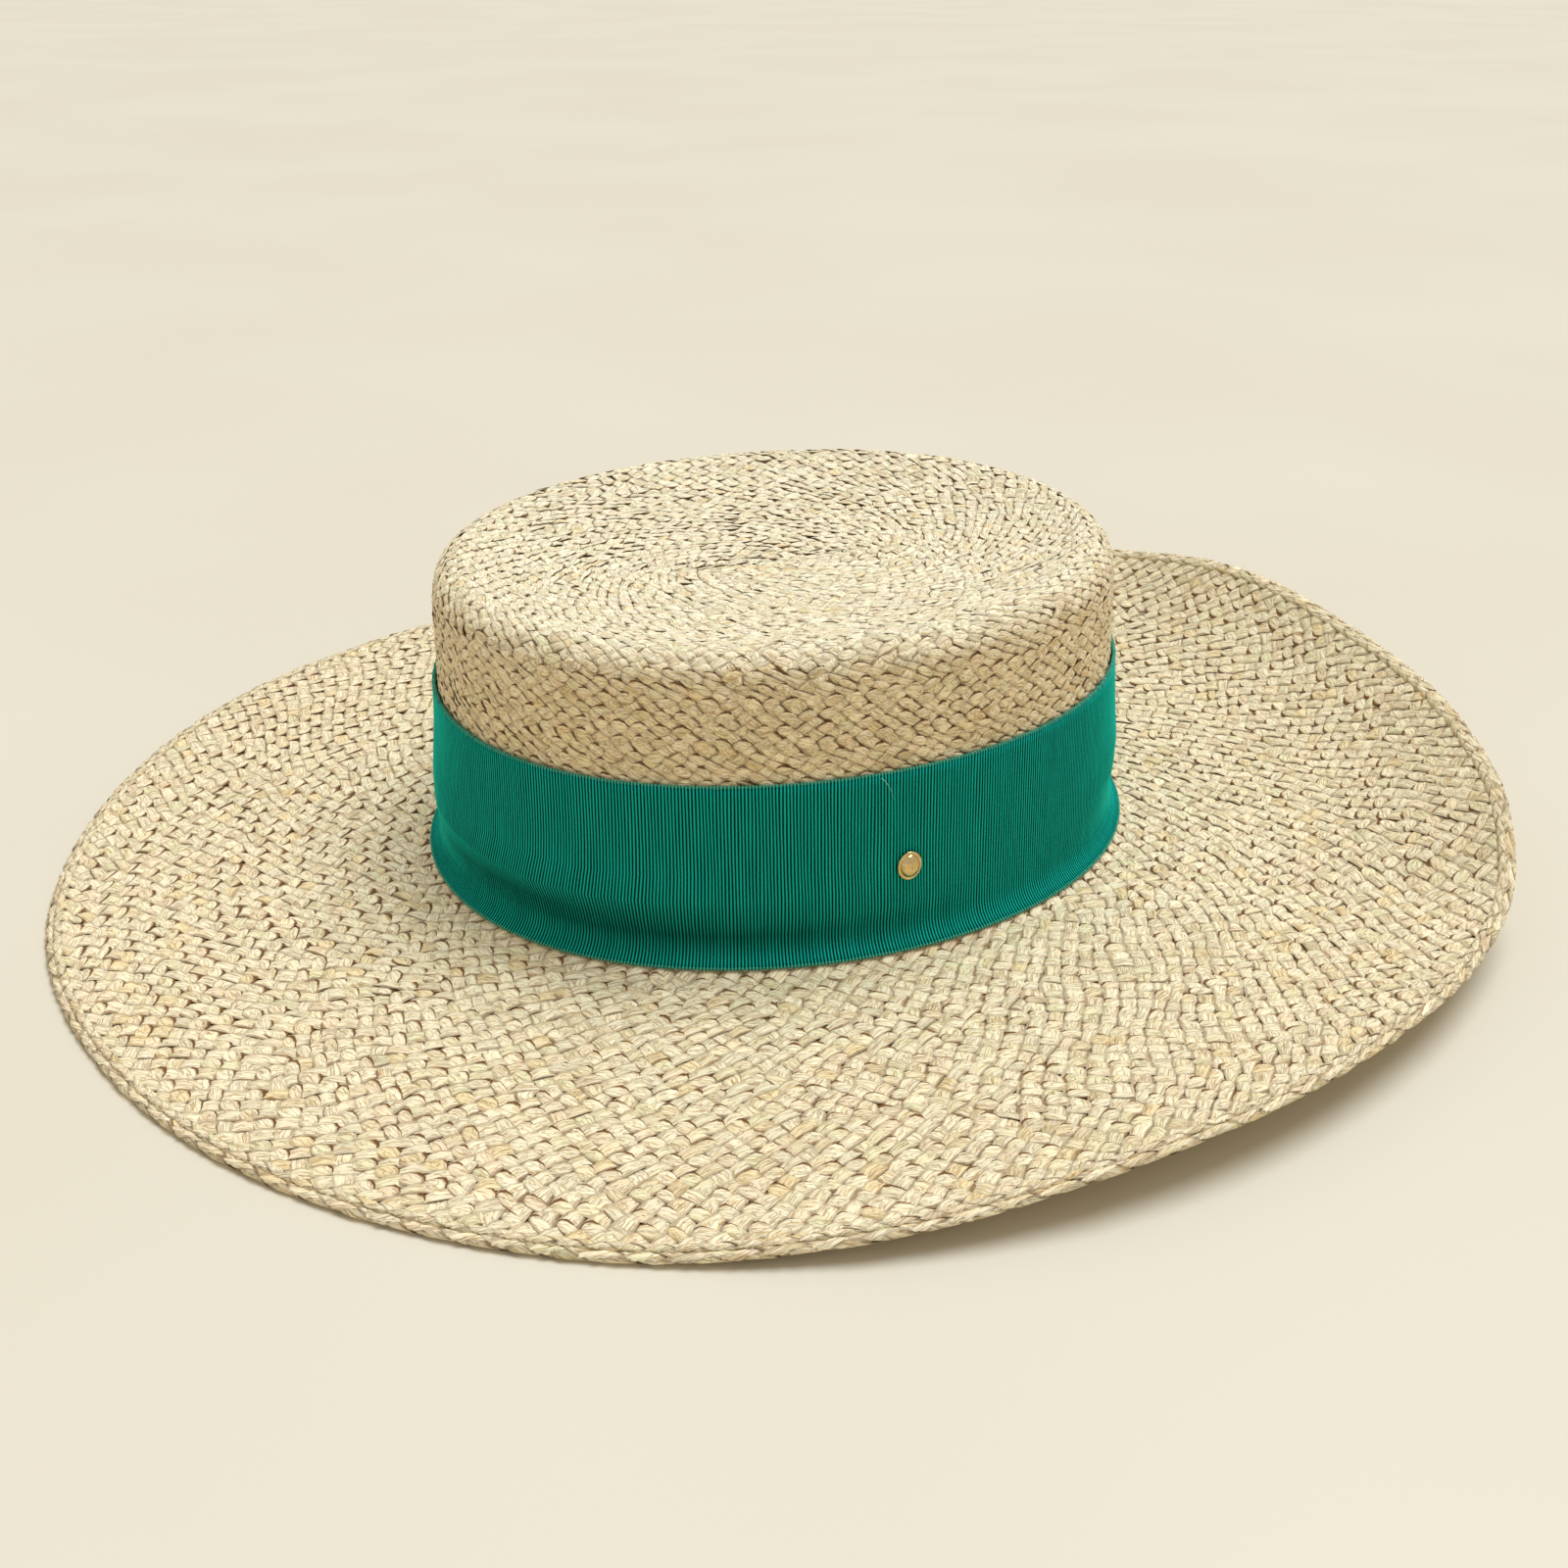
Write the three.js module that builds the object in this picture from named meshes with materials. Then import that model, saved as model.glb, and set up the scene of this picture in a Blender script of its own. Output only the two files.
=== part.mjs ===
import * as THREE from "three";
import { mergeVertices } from "three/addons/utils/BufferGeometryUtils.js";

// A wide-brim straw sun hat with a ribbon lapped round its crown, in millimetres.
// It rests on the plane z = 0, with the long axis of the head oval along X.
// Azimuths are the directions of the outward normal of the head oval, from +X towards +Y.

// Head oval, to the outside of the straw at the foot of the crown
const HALF_LENGTH = 99;
const HALF_WIDTH = 82.8;
const CORNER_FULLNESS = 0.8;

// Straw wall, and the clearance between neighbouring pieces
const STRAW = 2.4;
const GAP = 0.3;

// Crown, with heights above the top of the brim at the crown's foot
const CROWN_HEIGHT = 86.3;
const CROWN_TAPER = 3.4;
const COLLAR_HEIGHT = 14;
const FOOT_RADIUS = 8;
const RIM_RADIUS = 8;
const RIM_SWEEP = 112;
const DISH_DEPTH = 7;
const DISH_POWER = 4.5;
const FOOT_LIFT = 4.6;
const LEAN_TO_FRONT = 0.86;
const LEAN_TO_LEFT = 0.7;
const HEIGHT_SLANT = 0.013;
const SLANT_AZIMUTH = 60;

// Ribbon
const BAND_THICKNESS = 1;
const BAND_TOP = 52;
const BAND_FOOT_TURN = 62;
const BAND_LAP_AZIMUTH = 84;
const BAND_LAP_ANGLE = 8;
const BAND_LAP_RAMP = 9;
const BAND_LAP_LEAD = 2;

// Folded edge of the brim
const EDGE_WIDTH = 4.2;
const EDGE_THICKNESS = 3.2;
const EDGE_CORNER = 1.1;

// Stud on the ribbon
const STUD_AZIMUTH = 273.8;
const STUD_HEIGHT = 25;
const STUD_HALF_WIDTH = 3.4;
const STUD_HALF_HEIGHT = 4.2;
const STUD_RIM = 0.7;
const STUD_DOME = 1.5;
const STUD_DOME_SHARE = 0.8;

// Numbers of steps round the hat and along each profile
const ROUND_STEPS = 64;
const LAP_STEPS = 5;
const RIM_STEPS = 4;
const DISH_STEPS = 5;
const FOOT_STEPS = 5;
const BRIM_STEPS = 6;
const BAND_FOOT_STEPS = 3;
const BAND_STEPS = 4;
const STUD_STEPS = 24;
const DOME_STEPS = 4;

// Brim: its reach past the crown, how high the underside of its edge lies, and the edge's slope in degrees
const BRIM_SECTIONS = [
  { azimuth: 0, reach: 103.8, rise: 31, slope: 42 },
  { azimuth: 20, reach: 102.6, rise: 35, slope: 44 },
  { azimuth: 40, reach: 104.8, rise: 26.8, slope: 36 },
  { azimuth: 65, reach: 106.6, rise: 17, slope: 22 },
  { azimuth: 90, reach: 107.2, rise: 9, slope: 11 },
  { azimuth: 112, reach: 107.3, rise: 4.6, slope: 5 },
  { azimuth: 138, reach: 107.4, rise: 4.2, slope: 4 },
  { azimuth: 160, reach: 107.8, rise: 2.4, slope: 2 },
  { azimuth: 180, reach: 109.3, rise: 0, slope: 0 },
  { azimuth: 202, reach: 107.2, rise: 0, slope: 0 },
  { azimuth: 225, reach: 106.8, rise: 0, slope: 0 },
  { azimuth: 248, reach: 107, rise: 0, slope: 0 },
  { azimuth: 262, reach: 107, rise: 4.8, slope: 6 },
  { azimuth: 276, reach: 107, rise: 11, slope: 13 },
  { azimuth: 294, reach: 107.3, rise: 12.2, slope: 15 },
  { azimuth: 310, reach: 110.4, rise: 11.5, slope: 18 },
  { azimuth: 318, reach: 112, rise: 15, slope: 26 },
  { azimuth: 325, reach: 109.4, rise: 24.5, slope: 36 },
  { azimuth: 340, reach: 104.8, rise: 29.5, slope: 41 },
];

// Places where the ribbon stands off the crown, with the half-size of each in degrees and millimetres
const BAND_FOLDS = [
  { azimuth: 181, height: 23, halfAngle: 17, halfHeight: 13, lift: 1.7 },
  { azimuth: 229, height: 24, halfAngle: 15, halfHeight: 10, lift: 0.8 },
  { azimuth: 335, height: 33, halfAngle: 20, halfHeight: 14, lift: 0.7 },
];

const radians = THREE.MathUtils.degToRad;
const lerp = THREE.MathUtils.lerp;

// The point of the head oval whose outward normal has this azimuth, moved out by grow
function ovalPoint(azimuth, grow, height) {
  const angle = radians(azimuth);
  const stretch = (HALF_LENGTH - HALF_WIDTH) / 2;
  const mean = (HALF_LENGTH + HALF_WIDTH) / 2 + CORNER_FULLNESS;
  const support = mean + stretch * Math.cos(2 * angle) - CORNER_FULLNESS * Math.cos(4 * angle) + grow;
  const turn = 4 * CORNER_FULLNESS * Math.sin(4 * angle) - 2 * stretch * Math.sin(2 * angle);
  const x = support * Math.cos(angle) - turn * Math.sin(angle);
  const y = support * Math.sin(angle) + turn * Math.cos(angle);
  return new THREE.Vector3(x, y, height);
}

// The crown leans a little, so its heights are measured along a tilted axis
const crownFrame = new THREE.Group();
crownFrame.rotation.set(radians(LEAN_TO_FRONT), -radians(LEAN_TO_LEFT), 0);
crownFrame.position.z = FOOT_LIFT;
crownFrame.updateMatrix();

// A point of the crown's wall, where the whole crown is slightly taller on one side
function crownPoint(azimuth, grow, height) {
  const slant = 1 + HEIGHT_SLANT * Math.cos(radians(azimuth - SLANT_AZIMUTH));
  return ovalPoint(azimuth, grow, height * slant);
}

// How far the outside of the straight wall stands out at a height
function wallGrow(height) {
  return (-CROWN_TAPER * (height - FOOT_RADIUS)) / (CROWN_HEIGHT - FOOT_RADIUS);
}

// Two triangles between places a and b of one section and of the next
function addQuad(index, section, next, a, b) {
  index.push(section + a, next + a, next + b, section + a, next + b, section + b);
}

// A closed surface through sections, the last joined to the first.
// Each section is a closed loop, and all have equally many points.
function loftRing(sections) {
  const perLoop = sections[0].length;
  const positions = sections.flat().flatMap((point) => point.toArray());
  const index = [];
  sections.forEach((_, i) => {
    const next = (i + 1) % sections.length;
    for (let j = 0; j < perLoop; j += 1) {
      addQuad(index, i * perLoop, next * perLoop, j, (j + 1) % perLoop);
    }
  });
  return closedGeometry(positions, index);
}

// Merges points that coincide, and leaves out the triangles that this flattens
function closedGeometry(positions, index) {
  const loose = new THREE.BufferGeometry();
  loose.setAttribute("position", new THREE.Float32BufferAttribute(positions, 3));
  loose.setIndex(index);
  const merged = mergeVertices(loose, 1e-4);
  const kept = [];
  const corners = merged.index.array;
  for (let i = 0; i < corners.length; i += 3) {
    const [a, b, c] = corners.slice(i, i + 3);
    if (a !== b && b !== c && c !== a) kept.push(a, b, c);
  }
  merged.setIndex(kept);
  merged.computeVertexNormals();
  return merged;
}

function steps(count) {
  return Array.from({ length: count + 1 }, (_, i) => i / count);
}

function azimuths() {
  return Array.from({ length: ROUND_STEPS }, (_, i) => (360 * i) / ROUND_STEPS);
}

// One face of the crown, from its foot up the wall, over the rim and down into the dished top
function crownFace(azimuth, inset) {
  const rimGrow = wallGrow(CROWN_HEIGHT) - RIM_RADIUS;
  const rimHeight = CROWN_HEIGHT - RIM_RADIUS;
  const radius = RIM_RADIUS - inset;
  const foot = COLLAR_HEIGHT + GAP;
  const points = [crownPoint(azimuth, wallGrow(foot) - inset, foot)];
  for (const t of steps(RIM_STEPS)) {
    const angle = radians(RIM_SWEEP * t);
    const grow = rimGrow + radius * Math.cos(angle);
    points.push(crownPoint(azimuth, grow, rimHeight + radius * Math.sin(angle)));
  }
  const lip = points.at(-1);
  for (const t of steps(DISH_STEPS).slice(1)) {
    const left = 1 - t;
    const drop = DISH_DEPTH * (1 - left ** DISH_POWER);
    const centreHeight = rimHeight + radius * Math.sin(radians(RIM_SWEEP));
    const height = lerp(centreHeight, lip.z, left) - drop;
    points.push(new THREE.Vector3(lip.x * left, lip.y * left, height));
  }
  return points;
}

function makeCrown() {
  const sections = azimuths().map((azimuth) => {
    const outside = crownFace(azimuth, 0);
    const inside = crownFace(azimuth, STRAW);
    return [...outside, ...inside.reverse()];
  });
  return loftRing(sections);
}

// Values of the brim at any azimuth, from a smooth closed curve through its sections
function brimSection(azimuth) {
  const count = BRIM_SECTIONS.length;
  const turned = ((azimuth % 360) + 360) % 360;
  const start = BRIM_SECTIONS.findLastIndex((section) => section.azimuth <= turned);
  const pick = (i) => BRIM_SECTIONS[(start + i + count) % count];
  const place = (i) => pick(i).azimuth + 360 * Math.floor((start + i) / count);
  const span = place(1) - place(0);
  const t = (turned - place(0)) / span;
  const blend = (name) => {
    const tangentIn = ((pick(1)[name] - pick(-1)[name]) / (place(1) - place(-1))) * span;
    const tangentOut = ((pick(2)[name] - pick(0)[name]) / (place(2) - place(0))) * span;
    return hermite(t, pick(0)[name], tangentIn, pick(1)[name], tangentOut);
  };
  return { reach: blend("reach"), rise: Math.max(0, blend("rise")), slope: radians(blend("slope")) };
}

function hermite(t, start, startTangent, end, endTangent) {
  const startWeight = (1 + 2 * t) * (1 - t) ** 2;
  const endWeight = t ** 2 * (3 - 2 * t);
  const startPull = t * (1 - t) ** 2;
  const endPull = t ** 2 * (t - 1);
  return startWeight * start + startPull * startTangent + endWeight * end + endPull * endTangent;
}

function hermiteSlope(t, start, startTangent, end, endTangent) {
  const change = 6 * t * (1 - t) * (end - start);
  return change + (1 - t) * (1 - 3 * t) * startTangent + t * (3 * t - 2) * endTangent;
}

// The centre of the folded edge in its upright section plane, as distance past the crown and height
function edgeCentre(azimuth) {
  const { reach, rise, slope } = brimSection(azimuth);
  const distance = reach - (EDGE_WIDTH / 2) * Math.cos(slope);
  return { distance, height: rise + EDGE_THICKNESS / 2, slope };
}

// One face of the brim from its edge in to the foot of the crown and up the collar
function brimFace(azimuth, inset) {
  const edge = edgeCentre(azimuth);
  const back = EDGE_WIDTH / 2 + GAP;
  const outer = edge.distance - back * Math.cos(edge.slope) - (STRAW / 2) * Math.sin(edge.slope);
  const outerHeight = edge.height - back * Math.sin(edge.slope) + (STRAW / 2) * Math.cos(edge.slope);
  const foot = ovalPoint(azimuth, FOOT_RADIUS, 0).applyMatrix4(crownFrame.matrix);
  const further = ovalPoint(azimuth, FOOT_RADIUS + 1, 0).applyMatrix4(crownFrame.matrix);
  const span = outer - FOOT_RADIUS;
  const curve = [foot.z, (further.z - foot.z) * span, outerHeight, Math.tan(edge.slope) * span];
  const points = [];
  for (const t of steps(BRIM_STEPS).reverse().slice(0, -1)) {
    const slope = hermiteSlope(t, ...curve) / span;
    const length = Math.hypot(1, slope);
    const distance = lerp(FOOT_RADIUS, outer, t) + (inset * slope) / length;
    points.push(ovalPoint(azimuth, distance, hermite(t, ...curve) - inset / length));
  }
  for (const t of steps(FOOT_STEPS)) {
    const angle = radians(90 * (1 - t));
    const radius = FOOT_RADIUS + inset;
    const grow = FOOT_RADIUS - radius * Math.cos(angle);
    const height = FOOT_RADIUS - radius * Math.sin(angle);
    points.push(ovalPoint(azimuth, grow, height).applyMatrix4(crownFrame.matrix));
  }
  const top = crownPoint(azimuth, wallGrow(COLLAR_HEIGHT) - inset, COLLAR_HEIGHT);
  points.push(top.applyMatrix4(crownFrame.matrix));
  return points;
}

function makeBrim() {
  const sections = azimuths().map((azimuth) => {
    const upper = brimFace(azimuth, 0);
    const lower = brimFace(azimuth, STRAW);
    return [...upper, ...lower.reverse()];
  });
  return loftRing(sections);
}

// The folded edge is a flat cord with cut corners that follows the end of the brim
function makeBrimEdge() {
  const halfWidth = EDGE_WIDTH / 2;
  const halfThickness = EDGE_THICKNESS / 2;
  const corners = [
    [halfWidth, halfThickness - EDGE_CORNER],
    [halfWidth - EDGE_CORNER, halfThickness],
    [EDGE_CORNER - halfWidth, halfThickness],
    [-halfWidth, halfThickness - EDGE_CORNER],
    [-halfWidth, EDGE_CORNER - halfThickness],
    [EDGE_CORNER - halfWidth, -halfThickness],
    [halfWidth - EDGE_CORNER, -halfThickness],
    [halfWidth, EDGE_CORNER - halfThickness],
  ];
  const sections = azimuths().map((azimuth) => {
    const { distance, height, slope } = edgeCentre(azimuth);
    return corners.map(([out, up]) => {
      const outward = out * Math.cos(slope) - up * Math.sin(slope);
      const upward = out * Math.sin(slope) + up * Math.cos(slope);
      return ovalPoint(azimuth, distance + outward, height + upward);
    });
  });
  return loftRing(sections);
}

// How far the ribbon stands off the straw at a place
function bandLift(azimuth, height) {
  return BAND_FOLDS.reduce((sum, fold) => {
    const across = (azimuth - fold.azimuth) / fold.halfAngle;
    const up = (height - fold.height) / fold.halfHeight;
    return sum + fold.lift * Math.exp(-(across ** 2) - up ** 2);
  }, 0);
}

// One face of the ribbon, from its foot on the curve of the brim up to its top edge
function bandFace(azimuth, standOff) {
  const points = [];
  for (const t of steps(BAND_FOOT_STEPS)) {
    const angle = radians(BAND_FOOT_TURN * (1 - t));
    const radius = FOOT_RADIUS - standOff;
    const grow = FOOT_RADIUS - radius * Math.cos(angle);
    const height = FOOT_RADIUS - radius * Math.sin(angle);
    points.push(ovalPoint(azimuth, grow + bandLift(azimuth, height), height));
  }
  for (const t of steps(BAND_STEPS).slice(1)) {
    const height = lerp(FOOT_RADIUS, BAND_TOP, t);
    points.push(crownPoint(azimuth, wallGrow(height) + standOff + bandLift(azimuth, height), height));
  }
  return points;
}

// The ribbon goes once round and its end laps over its start
function makeBand() {
  const start = BAND_LAP_AZIMUTH - 360;
  const end = BAND_LAP_AZIMUTH + BAND_LAP_ANGLE;
  const overStart = BAND_LAP_AZIMUTH - BAND_LAP_LEAD;
  const path = [
    ...azimuths().map((azimuth) => start + azimuth),
    overStart,
    ...steps(LAP_STEPS).map((t) => lerp(BAND_LAP_AZIMUTH, end, t)),
  ];
  const loops = path.map((azimuth) => {
    const ramp = THREE.MathUtils.smoothstep(azimuth, overStart - BAND_LAP_RAMP, overStart);
    const standOff = GAP + ramp * (BAND_THICKNESS + GAP);
    const turned = (azimuth + 360) % 360;
    return [...bandFace(turned, standOff + BAND_THICKNESS), ...bandFace(turned, standOff).reverse()];
  });
  return loftStrip(loops);
}

// A closed surface through sections, with a flat cap at the first and the last
function loftStrip(sections) {
  const perLoop = sections[0].length;
  const positions = sections.flat().flatMap((point) => point.toArray());
  const index = [];
  for (let i = 0; i + 1 < sections.length; i += 1) {
    for (let j = 0; j < perLoop; j += 1) {
      addQuad(index, i * perLoop, (i + 1) * perLoop, j, (j + 1) % perLoop);
    }
  }
  const last = (sections.length - 1) * perLoop;
  for (let j = 0; j < perLoop / 2 - 1; j += 1) {
    const far = perLoop - 1 - j;
    index.push(j, j + 1, far, j + 1, far - 1, far);
    index.push(last + j, last + far, last + j + 1, last + j + 1, last + far, last + far - 1);
  }
  return closedGeometry(positions, index);
}

// A plain oval stud: a thin stepped rim round a low dome
function makeStud() {
  const profile = [new THREE.Vector2(0, 0), new THREE.Vector2(1, 0), new THREE.Vector2(1, STUD_RIM)];
  for (const t of steps(DOME_STEPS)) {
    const angle = radians(90 * t);
    const rise = STUD_RIM + STUD_DOME * Math.sin(angle);
    profile.push(new THREE.Vector2(STUD_DOME_SHARE * Math.cos(angle), rise));
  }
  profile[profile.length - 1].x = 0;
  const lathe = new THREE.LatheGeometry(profile, STUD_STEPS);
  lathe.scale(STUD_HALF_WIDTH, 1, STUD_HALF_HEIGHT);
  lathe.deleteAttribute("normal");
  lathe.deleteAttribute("uv");
  return lathe;
}

function straw(color) {
  return new THREE.MeshStandardMaterial({ color, roughness: 0.75, metalness: 0, side: THREE.DoubleSide });
}

function namedMesh(name, geometry, material) {
  const mesh = new THREE.Mesh(geometry, material);
  mesh.name = name;
  return mesh;
}

const ribbonFinish = new THREE.MeshStandardMaterial({ color: 0x008a66, roughness: 0.6, metalness: 0 });
const studFinish = new THREE.MeshStandardMaterial({ color: 0xd9c08a, roughness: 0.25, metalness: 1 });

const crown = namedMesh("crown", makeCrown(), straw(0xd9bf8e));
const band = namedMesh("band", makeBand(), ribbonFinish);
const stud = namedMesh("stud", makeStud(), studFinish);
const brim = namedMesh("brim", makeBrim(), straw(0xe0c99c));
const brimEdge = namedMesh("brim_edge", makeBrimEdge(), straw(0xd4ba88));

// The stud's flat back faces the ribbon, with its long axis upright
const studSeat = wallGrow(STUD_HEIGHT) + GAP + BAND_THICKNESS + bandLift(STUD_AZIMUTH, STUD_HEIGHT) + GAP;
stud.position.copy(crownPoint(STUD_AZIMUTH, studSeat, STUD_HEIGHT));
stud.rotation.z = radians(STUD_AZIMUTH - 90);

crownFrame.add(crown, band, stud);

// The origin is on the plane that the hat rests on, under the middle of its box
const hat = new THREE.Group();
hat.add(crownFrame, brim, brimEdge);
hat.updateMatrixWorld(true);
const middle = new THREE.Box3().setFromObject(hat, true).getCenter(new THREE.Vector3());
hat.position.set(-middle.x, -middle.y, 0);

export default hat;
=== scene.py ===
import math

import bpy
import numpy as np
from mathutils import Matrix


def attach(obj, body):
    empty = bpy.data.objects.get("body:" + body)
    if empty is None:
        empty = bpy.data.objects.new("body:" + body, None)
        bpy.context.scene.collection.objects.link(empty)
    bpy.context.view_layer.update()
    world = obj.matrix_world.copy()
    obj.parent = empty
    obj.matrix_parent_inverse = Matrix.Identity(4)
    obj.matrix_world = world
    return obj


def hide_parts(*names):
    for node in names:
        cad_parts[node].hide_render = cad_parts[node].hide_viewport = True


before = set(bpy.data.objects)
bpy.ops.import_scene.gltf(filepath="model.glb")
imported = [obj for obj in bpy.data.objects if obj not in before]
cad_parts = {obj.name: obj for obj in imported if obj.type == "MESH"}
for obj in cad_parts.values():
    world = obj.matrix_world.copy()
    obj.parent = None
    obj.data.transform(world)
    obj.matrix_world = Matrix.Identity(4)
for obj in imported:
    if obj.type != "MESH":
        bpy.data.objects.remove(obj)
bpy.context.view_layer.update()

# Looks of a wide-brim straw sun hat, in millimetres. Azimuths are the directions of the outward normal of
# the head oval, in degrees from +X towards +Y.
MM = 0.001

# Shape of the hat, the same as the solid model's
HALF_LENGTH = 99.0
HALF_WIDTH = 82.8
CORNER_FULLNESS = 0.8
STRAW = 2.4
GAP = 0.3
CROWN_HEIGHT = 86.3
CROWN_TAPER = 3.4
COLLAR_HEIGHT = 14.0
FOOT_RADIUS = 8.0
RIM_RADIUS = 8.0
RIM_SWEEP = 112.0
DISH_DEPTH = 7.0
DISH_POWER = 4.5
FOOT_LIFT = 4.6
LEAN_TO_FRONT = 0.86
LEAN_TO_LEFT = 0.7
HEIGHT_SLANT = 0.013
SLANT_AZIMUTH = 60.0
BAND_THICKNESS = 1.0
BAND_TOP = 52.0
BAND_FOOT_TURN = 62.0
BAND_LAP_AZIMUTH = 84.0
BAND_LAP_ANGLE = 8.0
BAND_LAP_RAMP = 9.0
EDGE_WIDTH = 4.2
EDGE_THICKNESS = 3.2
STUD_AZIMUTH = 273.8
STUD_HEIGHT = 25.0
STUD_HALF_WIDTH = 3.4
STUD_HALF_HEIGHT = 4.2

# The middle of the hat's box is over the origin, so the head oval's centre lies here
HAT_SHIFT = np.array([2.5827, -0.1119, 0.0])

# Azimuth, reach past the crown, height of the edge's underside and slope of the edge in degrees
BRIM_SECTIONS = np.array([
    (0, 103.8, 31, 42), (20, 102.6, 35, 44), (40, 104.8, 26.8, 36), (65, 106.6, 17, 22),
    (90, 107.2, 9, 11), (112, 107.3, 4.6, 5), (138, 107.4, 4.2, 4), (160, 107.8, 2.4, 2),
    (180, 109.3, 0, 0), (202, 107.2, 0, 0), (225, 106.8, 0, 0), (248, 107, 0, 0),
    (262, 107, 4.8, 6), (276, 107, 11, 13), (294, 107.3, 12.2, 15), (310, 110.4, 11.5, 18),
    (318, 112, 15, 26), (325, 109.4, 24.5, 36), (340, 104.8, 29.5, 41),
], float)

# Places where the ribbon stands off the crown: azimuth, height, half-angle, half-height, lift
BAND_FOLDS = [
    (181, 23, 17, 13, 1.7),
    (229, 24, 15, 10, 0.8),
    (335, 33, 20, 14, 0.7),
]

# Shallow waves across the ribbon: from and to azimuth, from and to share of its width, half-width, lift
SOFT_FOLDS = [
    (178, 284, 0.44, 0.3, 0.09, 3.2),
    (190, 276, 0.14, 0.1, 0.08, -0.8),
    (296, 350, 0.25, 0.6, 0.14, 1.1),
    (20, 75, 0.6, 0.4, 0.15, 0.8),
    (120, 175, 0.35, 0.6, 0.15, 0.8),
]

# Camera of the reference view
CAMERA_AT = (-132.5, -424.1, 243.3)
CAMERA_AZIMUTH = 17.861
CAMERA_PITCH = 27.535
CAMERA_LENS = 38.17
SENSOR = 36.0

# Light: an even warm surrounding, and a soft cooler lamp from high up at the right
WORLD_COLOUR = (1.0, 0.92, 0.8, 1.0)
WORLD_STRENGTH = 0.55
SUN_FROM = (0.28, 0.06, 1.0)
SUN_POWER = 2.45
SUN_SPREAD = 38.0
SUN_COLOUR = (0.86, 0.92, 1.0)

# Steps of the surfaces that the straw follows, round the hat and along the profile of each
TURN_STEPS = 720
BRIM_STEPS = 150
CROWN_STEPS = 200
BEAD_STEPS = 60

# The crown's rings shrink by this much, then close up to a line of this share; its last steps are flat
LAST_RING = -76.0
LINE_SHARE = 0.62
FLAT_STEPS = 16

# Plaited straw: length of a cell along the braid, and rows of cells on each part
BRIM_PITCH = 5.9
BRIM_ROWS = 40
BRIM_ROWS_UNDER_RIBBON = 3
CROWN_PITCH = 5.1
CROWN_ROWS = 82
CROWN_ROWS_UNDER_RIBBON = 16
CELL_DEPTH = 0.62
ROLL_PITCH = 6.2
ROLL_ROWS = 4
CORD_PITCH = 9.5
CORD_ROWS = 4
FEWEST_CELLS = 5
EDGE_TUCK = 1.1

# Unevenness of the plait: spreads of its gaps and rows, and of the strands' shapes
GAP_SPREAD = 0.045
ROW_SPREAD = 0.06
LENGTH_SPREAD = 0.04
SHIFT_SPREAD = 0.03
CREASE_SPREAD = 0.12
ARCH_SPREAD = 0.14
RAISE_SPREAD = 0.05

# Strands folded along their middle: depths of the fold, its half-width, and how full the sides are
FOLD_DEPTHS = (0.5, 1.1)
FOLD_HALF_WIDTH = 0.3
FOLD_SIDES = 1.3

# Rounded pads: how far they close in at their ends, the power of their arch, their slant and its spread
PAD_CLOSE = 0.97
PAD_POWER = 0.7
PAD_SKEW = (0.1, 0.16)

# The thin sheet in the middle of the straw, coloured darker as painted shade of the gaps
CORE_HALF = 0.15
CORE_STEPS = 40
CROWN_CORE_TURNS = 160
BRIM_CORE_TURNS = 200

# Where each row of points of a cell lies along its strand and across it
ALONG = np.array([-0.34, 0.04, 0.5, 0.96, 1.34])
ACROSS = np.array([0.0, 0.18, 0.5, 0.82, 1.0])
ALONG_COARSE = np.array([-0.3, 0.15, 0.85, 1.3])
ACROSS_COARSE = np.array([0.0, 0.33, 0.67, 1.0])
ALONG_PLAIN = np.array([-0.2, 0.5, 1.2])
ACROSS_PLAIN = np.array([0.0, 0.5, 1.0])

# Tones of single strands, as factors of the straw's colour
TONES = np.array([
    (1.0, 1.0, 1.0), (1.04, 1.03, 1.02), (0.98, 0.95, 0.89), (1.0, 0.945, 0.92),
    (0.95, 0.97, 0.9), (0.98, 0.9, 0.76), (0.9, 0.86, 0.79),
])
TONE_SHARES = np.array([0.32, 0.26, 0.14, 0.11, 0.09, 0.04, 0.04])
TONE_SPREAD = 0.035

# Painted light: the straw on top of the crown is paler and cooler for its brighter lighting, as a factor of
# its colour
PAINTED_TOP_LIGHT_TONE = np.array([1.03, 1.12, 1.25])

# The ribbon: its ribs, counted at RIB_LINE of its width, and the shares of its width that have points
RIB_PITCH = 0.86
RIB_LINE = 0.6
RIB_STEPS = 4
RIB_RELIEF = 0.24
RIBBON_BACK = 0.1
RIBBON_SHARES = np.array([0, 0.04, 0.09, 0.14, 0.19, 0.28, 0.4, 0.52, 0.64, 0.76, 0.87, 0.95, 1.0])

# Slow waves that make the ribs uneven: turns in WAVE_SPAN * 2 pi ribs, climb and phase
WAVE_SPAN = 120
WAVES = ((23, 2.1, 0.4), (41, 3.7, 2.0), (87, 1.3, 4.1), (149, 5.3, 1.1))
RIB_WAVER = 0.08
SOFT_DENT = 0.06

# Painted shade in the tuck under the ribbon's largest wave: how far below the wave it lies in breadths, and
# how much darker it paints the cloth
PAINTED_SHADE_BELOW = 1.6
PAINTED_SHADE_STRENGTH = 0.6

# The ribbon's woven edges: thickness and height between the ribs' loops, and what a loop adds
EDGING_THICKNESS = (0.36, 0.2)
EDGING_HEIGHT = (0.2, 0.34)
EDGING_SPREAD = 0.05

# Strips that long pieces are cut into on the bake's map
RIBBON_STRIPS = 4
EDGING_STRIPS = 16

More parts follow.
